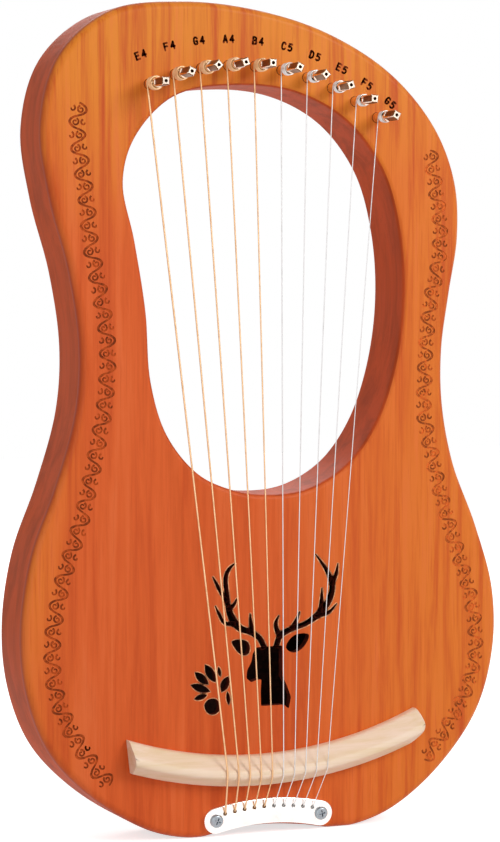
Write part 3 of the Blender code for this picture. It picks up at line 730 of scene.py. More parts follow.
def wear_group():
    """Broad handling marks: where a surface has been polished, and where dust has settled."""
    name = "Handling Wear"
    if name in bpy.data.node_groups:
        return bpy.data.node_groups[name]
    group, start, end = new_group(
        name,
        [("Vector", "NodeSocketVector", None), ("Scale", "NodeSocketFloat", 30.0)],
        [("Polish", "NodeSocketFloat"), ("Specks", "NodeSocketFloat")])
    broad = add_node(group, "ShaderNodeTexNoise")
    feed(group, broad.inputs["Vector"], start.outputs["Vector"])
    feed(group, broad.inputs["Scale"], start.outputs["Scale"])
    broad.inputs["Detail"].default_value = 6
    fine = add_node(group, "ShaderNodeTexNoise")
    feed(group, fine.inputs["Vector"], start.outputs["Vector"])
    feed(group, fine.inputs["Scale"], calculate(group, "MULTIPLY", start.outputs["Scale"], 22.0))
    feed(group, end.inputs["Polish"], broad.outputs["Fac"])
    feed(group, end.inputs["Specks"], ramp(group, fine.outputs["Fac"], 0.6, 0.75))
    return group


def use_group(tree, group, **values):
    made = add_node(tree, "ShaderNodeGroup", node_tree=group)
    for name, value in values.items():
        feed(tree, made.inputs[name.replace("_", " ").title()], value)
    return made


def new_material(name):
    """A new material, its node tree and its Principled shader."""
    material = bpy.data.materials.new(name)
    material.use_nodes = True
    return material, material.node_tree, material.node_tree.nodes["Principled BSDF"]


def bump(tree, shader, height, distance, strength=1.0):
    made = add_node(tree, "ShaderNodeBump")
    feed(tree, made.inputs["Height"], height)
    made.inputs["Distance"].default_value = distance
    made.inputs["Strength"].default_value = strength
    tree.links.new(made.outputs["Normal"], shader.inputs["Normal"])


def vary(tree, value, low, high):
    """A value from 0 to 1 spread between low and high."""
    made = add_node(tree, "ShaderNodeMapRange")
    feed(tree, made.inputs["Value"], value)
    made.inputs["To Min"].default_value = low
    made.inputs["To Max"].default_value = high
    return made.outputs["Result"]


def lacquer(shader, specular):
    shader.inputs["Specular IOR Level"].default_value = specular


def stained_front():
    """Amber stain at the top that turns ember red over the middle, darker where the edge turns away."""
    name = "stained_front"
    if name in bpy.data.materials:
        return bpy.data.materials[name]
    material, tree, shader = new_material(name)
    here = object_place(tree)
    apart = add_node(tree, "ShaderNodeSeparateXYZ")
    feed(tree, apart.inputs[0], here)
    grain = use_group(tree, grain_group(), vector=here, streak_scale=170.0, pore_scale=1100.0)
    wear = use_group(tree, wear_group(), vector=here, scale=26.0)
    cloud = noise(tree, mapped(tree, here, scale=(1, 1, 0.35)), 22.0)
    drift = calculate(tree, "MULTIPLY_ADD", cloud, 0.11, apart.outputs["Z"])
    high = ramp(tree, drift, 0.33, 0.45)
    # Amber bands along the left and right edges of the front: painted highlight where the light runs
    # along the arms.
    rightwards = calculate(tree, "MULTIPLY_ADD", cloud, 0.05, apart.outputs["X"])
    right = ramp(tree, rightwards, 0.02, 0.13)
    left = ramp(tree, rightwards, -0.066, -0.1)
    sides = calculate(tree, "MULTIPLY", calculate(tree, "ADD", left, right), 0.55)
    amber_and_edge_highlight = calculate(tree, "MAXIMUM", high, sides)
    stain = blend_colours(tree, amber_and_edge_highlight, rgba(colours().ember), rgba(colours().amber))
    dark = tuple(value * share for value, share in zip(colours().ember, (0.8, 0.66, 0.6)))
    streaked = blend_colours(
        tree, ramp(tree, grain.outputs["Streaks"], 0.42, 0.74), stain, rgba(dark))
    light = tuple(min(1.0, value * share) for value, share in zip(colours().ember, (1.1, 1.45, 2.2)))
    pale = blend_colours(
        tree, calculate(tree, "MULTIPLY", ramp(tree, grain.outputs["Streaks"], 0.5, 0.3), 0.45),
        streaked, rgba(light))
    pored = blend_colours(
        tree, calculate(tree, "MULTIPLY", grain.outputs["Pores"], 0.35), pale, rgba(dark))
    # Darker where the rounded edge turns away from the front. This is partly a darker stain at the edge
    # and partly painted shade on the roundover that faces away from the light.
    turned = add_node(tree, "ShaderNodeSeparateXYZ")
    feed(tree, turned.inputs[0], add_node(tree, "ShaderNodeTexCoord").outputs["Normal"])
    away = ramp(tree, turned.outputs["Y"], -0.72, -0.15)
    edge = tuple(value * share for value, share in zip(colours().sides, (0.64, 0.46, 0.35)))
    edged = blend_colours(tree, calculate(tree, "MULTIPLY", away, 0.85), pored, rgba(edge))
    feed(tree, shader.inputs["Base Color"], edged)
    feed(tree, shader.inputs["Roughness"], vary(tree, wear.outputs["Polish"], 0.34, 0.5))
    lacquer(shader, 0.17)
    bump(tree, shader, grain.outputs["Height"], 0.05 * MM, 0.35)
    return material


def stained_side():
    """Darker red-brown stain for the sides, the opening's wall and the back."""
    name = "stained_side"
    if name in bpy.data.materials:
        return bpy.data.materials[name]
    material, tree, shader = new_material(name)
    here = object_place(tree)
    grain = use_group(tree, grain_group(), vector=here, streak_scale=120.0, pore_scale=900.0)
    wear = use_group(tree, wear_group(), vector=here, scale=24.0)
    stain = rgba(colours().sides)
    dark = rgba(tuple(value * 0.62 for value in colours().sides))
    streaked = blend_colours(tree, ramp(tree, grain.outputs["Streaks"], 0.36, 0.78), stain, dark)
    pored = blend_colours(
        tree, calculate(tree, "MULTIPLY", grain.outputs["Pores"], 0.4), streaked, dark)
    feed(tree, shader.inputs["Base Color"], pored)
    feed(tree, shader.inputs["Roughness"], vary(tree, wear.outputs["Polish"], 0.45, 0.6))
    lacquer(shader, 0.06)
    bump(tree, shader, grain.outputs["Height"], 0.05 * MM, 0.35)
    return material


def burnt(name, colour):
    """Wood scorched by the engraving tool, uneven along the line."""
    # Besides scorched lines, this finish also carries the near-black painted shade inside the chamber
    # and the pale painted highlight round the sound hole cuts.
    if name in bpy.data.materials:
        return bpy.data.materials[name]
    material, tree, shader = new_material(name)
    here = object_place(tree)
    soot = noise(tree, here, 420.0, 3.0, 0.6)
    pale = tuple(min(1.0, value * 1.7) for value in colour)
    dark = tuple(value * 0.6 for value in colour)
    feed(tree, shader.inputs["Base Color"],
         blend_colours(tree, ramp(tree, soot, 0.35, 0.68), rgba(dark), rgba(pale)))
    feed(tree, shader.inputs["Roughness"], vary(tree, soot, 0.7, 0.9))
    shader.inputs["Specular IOR Level"].default_value = 0.2
    bump(tree, shader, soot, 0.06 * MM, 0.6)
    return material


def bridge_wood(name, shade):
    """Pale hardwood with faint lines along the bridge, darker where shade is below 1."""
    material, tree, shader = new_material(name)
    turn = mapped(tree, object_place(tree), rotation=(0, math.radians(90), 0))
    grain = use_group(tree, grain_group(), vector=turn, streak_scale=210.0, pore_scale=1400.0)
    wear = use_group(tree, wear_group(), vector=turn, scale=60.0)
    base = tuple(value * shade for value in colours().maple)
    warm = tuple(value * share for value, share in zip(base, (0.9, 0.82, 0.66)))
    pinkish = tuple(min(1.0, value * share) for value, share in zip(base, (1.03, 0.98, 1.04)))
    streaked = blend_colours(
        tree, ramp(tree, grain.outputs["Streaks"], 0.35, 0.75), rgba(pinkish), rgba(warm))
    pored = blend_colours(
        tree, calculate(tree, "MULTIPLY", grain.outputs["Pores"], 0.3), streaked, rgba(warm))
    feed(tree, shader.inputs["Base Color"], pored)
    feed(tree, shader.inputs["Roughness"], vary(tree, wear.outputs["Polish"], 0.42, 0.6))
    shader.inputs["Specular IOR Level"].default_value = 0.4
    bump(tree, shader, grain.outputs["Height"], 0.05 * MM, 0.4)
    return material


def brace_wood():
    """Planed softwood with its growth rings as fine lines along the brace."""
    material, tree, shader = new_material("brace_spruce")
    turn = mapped(tree, object_place(tree), rotation=(0, math.radians(90), 0))
    grain = use_group(tree, grain_group(), vector=turn, streak_scale=320.0, pore_scale=1200.0)
    rings = add_node(tree, "ShaderNodeTexWave", wave_type="BANDS", bands_direction="X")
    feed(tree, rings.inputs["Vector"], turn)
    rings.inputs["Scale"].default_value = 260.0
    rings.inputs["Distortion"].default_value = 1.6
    base = colours().spruce
    late = tuple(value * share for value, share in zip(base, (0.78, 0.66, 0.52)))
    ringed = blend_colours(
        tree, calculate(tree, "MULTIPLY", rings.outputs["Fac"], 0.6), rgba(base), rgba(late))
    pored = calculate(tree, "MULTIPLY", grain.outputs["Pores"], 0.4)
    feed(tree, shader.inputs["Base Color"], blend_colours(tree, pored, ringed, rgba(late)))
    feed(tree, shader.inputs["Roughness"], vary(tree, grain.outputs["Streaks"], 0.62, 0.8))
    bump(tree, shader, grain.outputs["Height"], 0.08 * MM, 0.5)
    return material


def plated(name, colour, rough_low, rough_high, brush=(1, 1, 1)):
    """Plated metal: a colour that dulls a little in places, and fine polishing lines."""
    if name in bpy.data.materials:
        return bpy.data.materials[name]
    material, tree, shader = new_material(name)
    here = object_place(tree)
    wear = use_group(tree, wear_group(), vector=here, scale=120.0)
    lines = noise(tree, mapped(tree, here, scale=brush), 2600.0, 2.0)
    dull = tuple(value * 0.82 for value in colour)
    feed(tree, shader.inputs["Base Color"],
         blend_colours(tree, ramp(tree, wear.outputs["Polish"], 0.5, 0.8), rgba(colour), rgba(dull)))
    feed(tree, shader.inputs["Roughness"], vary(tree, lines, rough_low, rough_high))
    shader.inputs["Metallic"].default_value = 1.0
    bump(tree, shader, lines, 0.01 * MM, 0.25)
    return material


def wound_bronze():
    """Bronze wire wound round a core: fine ridges that follow the string's own length."""
    name = "wound_bronze"
    if name in bpy.data.materials:
        return bpy.data.materials[name]
    material, tree, shader = new_material(name)
    length = add_node(tree, "ShaderNodeAttribute", attribute_name="wire_length")
    turns = calculate(tree, "MULTIPLY", length.outputs["Fac"], 2 * math.pi / sizes().winding_pitch)
    ridge = vary(tree, calculate(tree, "SINE", turns), 0.5, 1.0)
    tarnish = noise(tree, object_place(tree), 260.0)
    # The troughs between the turns are coloured darker: painted shade in the grooves.
    groove_shade = rgba(tuple(value * 0.55 for value in colours().bronze))
    bright = rgba(colours().bronze)
    brown = rgba(tuple(value * share for value, share in zip(colours().bronze, (0.82, 0.7, 0.55))))
    wire = blend_colours(tree, ramp(tree, tarnish, 0.45, 0.8), bright, brown)
    feed(tree, shader.inputs["Base Color"], blend_colours(tree, ridge, groove_shade, wire))
    feed(tree, shader.inputs["Roughness"], vary(tree, tarnish, 0.3, 0.5))
    shader.inputs["Metallic"].default_value = 0.95
    bump(tree, shader, ridge, 0.05 * MM, 0.7)
    return material


def plain_wire():
    """Drawn steel wire with faint lengthwise marks."""
    name = "plain_wire"
    if name in bpy.data.materials:
        return bpy.data.materials[name]
    material, tree, shader = new_material(name)
    here = object_place(tree)
    marks = noise(tree, mapped(tree, here, scale=(1, 1, 0.02)), 3000.0, 2.0)
    spots = noise(tree, here, 180.0)
    base = colours().wire
    dull = tuple(value * 0.75 for value in base)
    feed(tree, shader.inputs["Base Color"],
         blend_colours(tree, ramp(tree, spots, 0.5, 0.8), rgba(base), rgba(dull)))
    feed(tree, shader.inputs["Roughness"], vary(tree, marks, 0.22, 0.4))
    shader.inputs["Metallic"].default_value = 1.0
    return material


# Engraving and sound hole

def measured(route):
    """The route's points with the length up to each."""
    total = 0.0
    marks = []
    for i, point in enumerate(route):
        if i:
            total += (Vector(point) - Vector(route[i - 1])).length
        marks.append((total, Vector(point)))
    return marks


def beside(marks, along, across):
    """The point at a length along the marks, moved to the left of their direction."""
    for (start, a), (end, b) in zip(marks, marks[1:]):
        if along <= end:
            break
    direction = (b - a).normalized()
    point = a.lerp(b, (along - start) / (end - start))
    return point.x - across * direction.y, point.y + across * direction.x


def vine_shapes(route):
    """A running vine: a stem that swings from side to side, with a curl inside each bend and one
    in the notch behind it."""
    marks = measured(smooth_path(in_metres(route), 12))
    swing = sizes().vine_swing
    bends = round(marks[-1][0] / VINE_PITCH)
    pitch = marks[-1][0] / bends
    stem = []
    for step in range(bends * 10 + 1):
        turn = math.pi * step / 10
        across = swing * math.copysign(abs(math.sin(turn)) ** 0.75, math.sin(turn))
        half = (0.46 + 0.16 * abs(math.sin(turn))) * MM
        stem.append((*beside(marks, pitch * step / 10, across), half))
    shapes = [stroke(stem)]
    for bend in range(bends):
        side = 1 if bend % 2 == 0 else -1
        middle = pitch * (bend + 0.5)
        curls = ((0.28 * swing, 1, 0.3, 2.3), (-0.82 * swing, -1, 0.26, 1.5))
        for offset, hand, size, turns in curls:
            steps = 16
            curl = []
            for step in range(steps + 1):
                t = step / steps
                angle = hand * math.pi * (1.1 + turns * t)
                reach = pitch * (0.07 + (size - 0.07) * (1 - t))
                along = min(max(middle + reach * math.cos(angle), 0), marks[-1][0])
                across = side * (offset + reach * math.sin(angle))
                curl.append((*beside(marks, along, across), (0.5 - 0.14 * t) * MM))
            shapes.append(stroke(curl))
    return shapes


def sound_hole_shapes():
    rounding = 0.8
    shapes = [soften(HEAD, rounding, 3)]
    shapes += [smooth_loop(shape, 4) for shape in (RIGHT_EAR, LEFT_EAR, PETAL)]
    shapes += [leaf(*shape) for shape in LEAVES]
    shapes += [stroke(smooth_path(path, 4)) for path in (RIGHT_BEAM, LEFT_BEAM, *TINES)]
    return [in_metres(shape) for shape in shapes]


def pen_line(start, end, half):
    """The mark that a round burning pen leaves from start to end."""
    start = Vector(start)
    end = Vector(end)
    heading = math.atan2(end.y - start.y, end.x - start.x)
    loop = []
    for middle, turn in ((end, -math.pi / 2), (start, math.pi / 2)):
        for step in range(5):
            angle = heading + turn + math.pi * step / 4
            loop.append((middle.x + half * math.cos(angle), middle.y + half * math.sin(angle)))
    return loop


def note_name_shapes():
    """The note names over the pins, drawn with the pen along an arc."""
    centre = Vector(NAME_CENTRE)
    unit = sizes().letter_height / GLYPH_RISE
    half_name = GLYPH_PITCH / 2 + GLYPH_WIDTH / 2
    shapes = []
    for number, name in enumerate(NAMES):
        lean = FIRST_NAME + number * NAME_STEP
        up = Vector((math.sin(lean), math.cos(lean)))
        along = Vector((up.y, -up.x))
        middle = centre + NAME_RADIUS * up
        for place_in_name, glyph in enumerate(name):
            for line in GLYPHS[glyph]:
                spots = []
                for x, rise in line:
                    across = (x + GLYPH_PITCH * place_in_name - half_name) * unit
                    spots.append(middle + across * along + (rise - GLYPH_RISE / 2) * unit * up)
                for a, b in zip(spots, spots[1:]):
                    # Lines that meet differ a little in width, so that their corners don't
                    shapes.append(pen_line(a, b, PEN_HALF * (1 + 0.02 * (len(shapes) % 7))))
    return shapes


# Wooden pieces

def cut_opening(piece, opening, front, back):
    """Saws the opening out of the piece, from in front of the depth front to behind back."""
    saw = flat_board("opening_saw", [opening], front - BEYOND, back + BEYOND, stained_side())
    carve(piece, saw)


def front_board():
    wood = stained_front()
    char = burnt("charred_cut", colours().char)
    look = sizes()
    opening = opening_loop()
    board = flat_board("front_board", [body_loop()], FRONT_Y, FRONT_SEAM_Y, wood)
    round_edges(board, lambda edge: in_plane(edge, FRONT_Y), look.front_round, look.round_segments)
    cut_opening(board, opening, FRONT_Y, FRONT_Y)
    on_opening = near_loop(opening)
    round_edges(
        board, lambda edge: in_plane(edge, FRONT_Y) and on_opening(edge),
        look.opening_round, look.round_segments)
    holes = [circle(axis.x, axis.z, PIN_RADIUS + BORE_CLEARANCE, 40) for axis in PIN_AXES]
    holes += [circle(*screw_place(side), SCREW_RADIUS + SCREW_CLEARANCE, 24) for side in (-1, 1)]
    carve(board, flat_board("drill", holes, FRONT_Y - BEYOND, FRONT_Y + BEYOND, char))
    half_pocket = string_share(STRINGS - 1) * HOLE_PITCH
    pocket = strip_outline(half_pocket, BALL_RADIUS + POCKET_MARGIN, HOLE_RISE)
    carve(board, flat_board("pocket_router", [pocket], FRONT_Y - BEYOND, FRONT_Y + POCKET_DEPTH, char))
    cuts = sound_hole_shapes()
    rims = [offset_loop(cut, HIGHLIGHT_RIM_LINE) for cut in cuts]
    workings = (
        # The pale rim is painted highlight on the edges of the sound hole cuts.
        (rims, HIGHLIGHT_RIM_DEPTH, burnt("bare_rim", colours().bare_rim)),
        (cuts, BEYOND, char),
        (vine_shapes(LEFT_VINE), look.engraving_depth, burnt("burnt_line", colours().burnt)),
        (vine_shapes(RIGHT_VINE), look.engraving_depth, burnt("scorched_line", colours().scorched)),
        (note_name_shapes(), look.engraving_depth, burnt("inked_line", colours().inked)),
    )
    for loops, depth, finish in workings:
        carve(board, flat_board("cutter", loops, FRONT_Y - BEYOND, FRONT_Y + depth, finish), True)
    clean_up(board)
    finish_surface(board)
    true_front(board)
    hand_in(board, HARP, "front_wood", "soundboard")


def back_board():
    look = sizes()
    opening = opening_loop()
    dark = burnt("chamber_shellac", colours().chamber)
    board = flat_board("back_board", [body_loop()], BACK_Y, BACK_SEAM_Y, stained_side())
    # The face that looks into the chamber is coloured near black: painted shade.
    board.data.materials.append(dark)
    for face in board.data.polygons:
        if face.normal.y < -0.99:
            face.material_index = 1
    round_edges(board, lambda edge: in_plane(edge, BACK_Y), look.back_round, look.round_segments)
    cut_opening(board, opening, BACK_Y, BACK_Y)
    on_opening = near_loop(opening)
    round_edges(
        board, lambda edge: in_plane(edge, BACK_Y) and on_opening(edge),
        look.opening_round, look.round_segments)
    finish_surface(board)
    hand_in(board, HARP, "side_wood", "back_plate")


def saw(piece, point, normal):
    """Saws the piece on a plane and keeps the side that the normal points to."""
    open_edit(piece)
    bpy.ops.mesh.bisect(plane_co=point, plane_no=normal, use_fill=True, clear_inner=True)
    close_edit()


def body_frame():
    """The wooden frame between the boards, made as one ring and sawn at its glue lines."""
    body = body_loop()
    ring = flat_board("frame_ring", [body], FRONT_SEAM_Y, BACK_SEAM_Y, stained_side())
    cut_opening(ring, opening_loop(), FRONT_Y, BACK_Y)
    inner = clip(offset_loop(body, -RIM_WALL), lambda point: point[1] - CHAMBER_BOTTOM)
    inner = clip(inner, lambda point: CHAMBER_TOP - point[1])
    # The chamber's walls are coloured near black: painted shade.
    dark = burnt("chamber_shellac", colours().chamber)
    carve(ring, flat_board("chamber_router", [inner], FRONT_Y - BEYOND, BACK_Y + BEYOND, dark))
    bores = [circle(axis.x, axis.z, PIN_RADIUS + BORE_CLEARANCE, 24) for axis in PIN_AXES]
    floor = FRONT_Y + PIN_SEATED + 2 * MM
    carve(ring, flat_board("drill", bores, FRONT_Y - BEYOND, floor, stained_side()))
    up = (0, 0, 1)
    down = (0, 0, -1)
    right = (1, 0, 0)
    left = (-1, 0, 0)
    yoke = (0, 0, YOKE_LINE)
    arm = (0, 0, ARM_LINE)
    middle = (0, 0, 0)
    cuts = {
        "yoke": ((yoke, up),),
        "left_arm": ((yoke, down), (arm, up), (middle, left)),
        "right_arm": ((yoke, down), (arm, up), (middle, right)),
        "left_rim": ((arm, down), ((-RIM_SPLIT, 0, 0), left)),
        "right_rim": ((arm, down), ((RIM_SPLIT, 0, 0), right)),
        "opening_rail": ((arm, down), ((0, 0, (CHAMBER_BOTTOM + CHAMBER_TOP) / 2), up),
                         ((-RIM_SPLIT, 0, 0), right), ((RIM_SPLIT, 0, 0), left)),
        "tail_block": (((0, 0, (CHAMBER_BOTTOM + CHAMBER_TOP) / 2), down),
                       ((-RIM_SPLIT, 0, 0), right), ((RIM_SPLIT, 0, 0), left)),
    }
    for node, planes in cuts.items():
        piece = copy_piece(ring, f"{node}_wood")
        for point, normal in planes:
            saw(piece, point, normal)
        finish_surface(piece)
        hand_in(piece, HARP, "side_wood", node)
    bpy.data.objects.remove(ring)


def brace(node, wood):
    """A brace with its long edges broken by a plane, made from the frame's own solid."""
    piece = copy_piece(frame["nodes"][node], f"{node}_wood")
    set_material(piece, wood)
    open_edit(piece, "VERT")
    bpy.ops.mesh.remove_doubles(threshold=0.01 * MM)
    bpy.ops.mesh.dissolve_limited(angle_limit=math.radians(1))
    bpy.ops.mesh.select_all(action="SELECT")
    bpy.ops.mesh.bevel(offset=0.8 * MM, segments=3, affect="EDGES")
    recalculate_outside()
    close_edit()
    finish_surface(piece)
    hand_in(piece, HARP, "spruce", node)


def arc_on_bridge(along, offset=0.0):
    """A point of the front face beside the bridge's arc, along it and offset upwards from it."""
    angle = along / BRIDGE_RADIUS
    reach = BRIDGE_RADIUS - offset
    across = reach * math.sin(angle)
    rise = BRIDGE_RADIUS - reach * math.cos(angle)
    c = math.cos(BRIDGE_TILT)
    s = math.sin(BRIDGE_TILT)
    return BRIDGE_X + c * across - s * rise, BRIDGE_Z + s * across + c * rise


def bridge_end_cuts():
    """What is cut off the bridge's blank, as a loop at its left end and one at its right end."""
    reach = BRIDGE_WIDTH
    x, z = arc_on_bridge(LEFT_END)
    slant = reach * math.tan(LEFT_END_LEAN)
    left = [
        (x - 2 * reach, z - reach), (x + slant, z - reach),
        (x - slant, z + reach), (x - 2 * reach, z + reach),
    ]

    centre = arc_on_bridge(ROUND_END, ROUND_END_RADIUS - BRIDGE_WIDTH / 2)
    lean = BRIDGE_TILT + ROUND_END / BRIDGE_RADIUS
    far = ROUND_END_RADIUS + 2 * reach
    corners = [(0, -far), (far, -far), (far, reach), (ROUND_END_RADIUS, reach)]
    steps = 28
    for step in range(steps + 1):
        angle = -math.pi / 2 * step / steps
        corners.append((ROUND_END_RADIUS * math.cos(angle), ROUND_END_RADIUS * math.sin(angle)))
    c = math.cos(lean)
    s = math.sin(lean)
    right = [(centre[0] + c * u - s * v, centre[1] + s * u + c * v) for u, v in corners]
    return [left, right]


def bridge():
    """One section, softened at its shoulders and crest, spun along the arc and sawn off at its ends."""
    half = BRIDGE_WIDTH / 2
    top = BRIDGE_HEIGHT + CREST_SPARE
    section = [
        (-half, 0), (half, 0), (half, BRIDGE_EDGE), (CREST_OFFSET + 0.5 * CREST_WIDTH, top),
        (CREST_OFFSET - 0.5 * CREST_WIDTH, top), (-half, BRIDGE_EDGE),
    ]
    radii = (0.4, 0.4, 1.6, 2.6, 2.6, 1.6)
    profile = []
    for i, (corner, radius) in enumerate(zip(section, radii)):
        triple = (section[i - 1], corner, section[(i + 1) % len(section)])
        profile += soften(triple, radius * MM, 5)[6:12]
    corners = []
    for offset, height in profile:
        x, z = arc_on_bridge(-BLANK_HALF_LENGTH, offset)
        corners.append((x, FRONT_Y - height, z))
    mesh = bpy.data.meshes.new("bridge_maple")
    mesh.from_pydata(corners, [], [range(len(corners))])
    piece = add_object("bridge_maple", mesh)
    mesh.materials.append(bridge_wood("bridge_maple", 1.0))
    centre_x = BRIDGE_X - math.sin(BRIDGE_TILT) * BRIDGE_RADIUS
    centre_z = BRIDGE_Z + math.cos(BRIDGE_TILT) * BRIDGE_RADIUS
    open_edit(piece, "FACE")
    bpy.ops.mesh.spin(
        steps=80, angle=2 * BLANK_HALF_LENGTH / BRIDGE_RADIUS,
        center=(centre_x, 0, centre_z), axis=(0, 1, 0))
    bpy.ops.mesh.select_all(action="SELECT")
    bpy.ops.mesh.remove_doubles(threshold=0.01 * MM)
    recalculate_outside()
    close_edit()
    end_grain = bridge_wood("bridge_end_grain", 0.86)
    ends = bridge_end_cuts()
    carve(piece, flat_board("end_saw", ends, FRONT_Y - BEYOND, FRONT_Y + BEYOND, end_grain))

    def crosses_end(edge):
        """True for an edge of the sawn ends that runs across the bridge, not along it."""
        if len({face.material_index for face in edge.link_faces}) < 2 or edge.calc_face_angle() < 0.35:
            return False
        start, end = (vertex.co for vertex in edge.verts)
        outwards = ((start + end) / 2 - Vector((centre_x, start.y, centre_z))) * Vector((1, 0, 1))
        along_arc = Vector((-outwards.z, 0, outwards.x)).normalized()
        return abs((end - start).normalized() @ along_arc) < 0.85

    round_edges(piece, crosses_end, 0.35 * MM, 3)
    finish_surface(piece)
    hand_in(piece, HARP, "maple", "bridge")


# Metal pieces

def plate_point(across, rise):
    """A point of the tail plate, across along its arc and rise above its middle line."""
    angle = across / PLATE_RADIUS
    reach = PLATE_RADIUS + rise
    return reach * math.sin(angle), PLATE_Z - PLATE_RADIUS + reach * math.cos(angle)


def screw_place(side):
    return plate_point(side * SCREW_SPACING / 2, 0)


def string_share(number):
    return number - (STRINGS - 1) / 2


def strip_outline(half_length, half_width, rise):
    """A strip along the plate's arc with round ends."""
    long_steps = 36
    end_steps = 20
    loop = []
    for side in (1, -1):
        x, z = plate_point(side * half_length, rise)
        lean = side * half_length / PLATE_RADIUS
        for step in range(end_steps + 1):
            angle = math.pi * (step / end_steps - side / 2) - lean
            loop.append((x + half_width * math.cos(angle), z + half_width * math.sin(angle)))
        for step in range(1, long_steps):
            across = side * half_length * (1 - 2 * step / long_steps)
            loop.append(plate_point(across, rise + side * half_width))
    return loop


def tail_plate():
    """A bent strip with round ends, eased edges and a countersunk hole for each string."""
    face = FRONT_Y - PLATE_TOP
    nickel = plated("bright_nickel", colours().nickel, 0.16, 0.3, brush=(0.04, 1, 1))
    outline = strip_outline(SCREW_SPACING / 2, PLATE_HALF_WIDTH, 0)
    plate = flat_board("tail_plate_nickel", [outline], face, FRONT_Y, nickel)
    round_edges(plate, lambda edge: in_plane(edge, face), 0.8 * MM, 4)
    spots = [plate_point(string_share(number) * HOLE_PITCH, HOLE_RISE) for number in range(STRINGS)]
    holes = [circle(x, z, HOLE_RADIUS, 20) for x, z in spots]
    holes += [circle(*screw_place(side), SCREW_RADIUS + SCREW_CLEARANCE, 32) for side in (-1, 1)]
    carve(plate, flat_board("drill", holes, face - BEYOND, FRONT_Y + BEYOND, nickel))
    rims = [near_loop(hole) for hole in holes]
    round_edges(
        plate, lambda edge: in_plane(edge, face) and any(on_rim(edge) for on_rim in rims), 0.25 * MM, 3)
    finish_surface(plate)
    hand_in(plate, HARP, "nickel", "tail_plate")


def screw_master():
    """A pan-head screw on the Y axis, its head's underside at y = 0 and its point at +Y."""
    bpy.ops.object.select_all(action="DESELECT")
    bpy.ops.mesh.primitive_cylinder_add(
        vertices=48, radius=SCREW_HEAD_RADIUS, depth=SCREW_HEAD_HEIGHT,
        location=(0, -SCREW_HEAD_HEIGHT / 2, 0), rotation=(math.radians(90), 0, 0))
    screw = bpy.context.object
    settle(screw)
    steel = plated("screw_zinc", colours().zinc, 0.28, 0.42)
    set_material(screw, steel)
    round_edges(screw, lambda edge: in_plane(edge, -SCREW_HEAD_HEIGHT), 1.15 * MM, 6, 0.42)
    round_edges(screw, lambda edge: in_plane(edge, 0), 0.15 * MM, 2)
    open_edit(screw, "FACE")
    pick(screw, "faces", lambda face: face.normal.y > 0.99)
    bpy.ops.mesh.inset(thickness=SCREW_HEAD_RADIUS - 0.15 * MM - SCREW_RADIUS, depth=0)
    bpy.ops.mesh.extrude_region_move(TRANSFORM_OT_translate={"value": (0, SCREW_LENGTH - 3 * MM, 0)})
    bpy.ops.mesh.extrude_region_move(TRANSFORM_OT_translate={"value": (0, 2.9 * MM, 0)})
    bpy.ops.transform.resize(value=(0.2, 1, 0.2), center_override=(0, SCREW_LENGTH, 0))
    close_edit()
    floor = -SCREW_HEAD_HEIGHT + 0.9 * MM
    arms = []
    for half_x, half_z in ((2.1 * MM, 0.42 * MM), (0.42 * MM, 2.1 * MM)):
        arms.append([(-half_x, -half_z), (half_x, -half_z), (half_x, half_z), (-half_x, half_z)])
    cross = flat_board("cross_punch", arms, -SCREW_HEAD_HEIGHT - 1 * MM, floor, steel)
    open_edit(cross, "FACE")
    pick(cross, "faces", lambda face: face.normal.y > 0.9)
    bpy.ops.transform.resize(value=(0.55, 1, 0.55), center_override=(0, floor, 0))
    close_edit()
    carve(screw, cross, True)
    return screw


def tail_screws():
    master = screw_master()
    seat = FRONT_Y - PLATE_TOP
    for side, node, turn in ((-1, "tail_screw_left", 24), (1, "tail_screw_right", -12)):
        x, z = screw_place(side)
        screw = copy_piece(master, f"{node}_zinc")
        place(screw, Matrix.Translation((x, seat, z)) @ Matrix.Rotation(math.radians(turn), 4, "Y"))
        finish_surface(screw)
        hand_in(screw, HARP, "screw_steel", node)
    bpy.data.objects.remove(master)


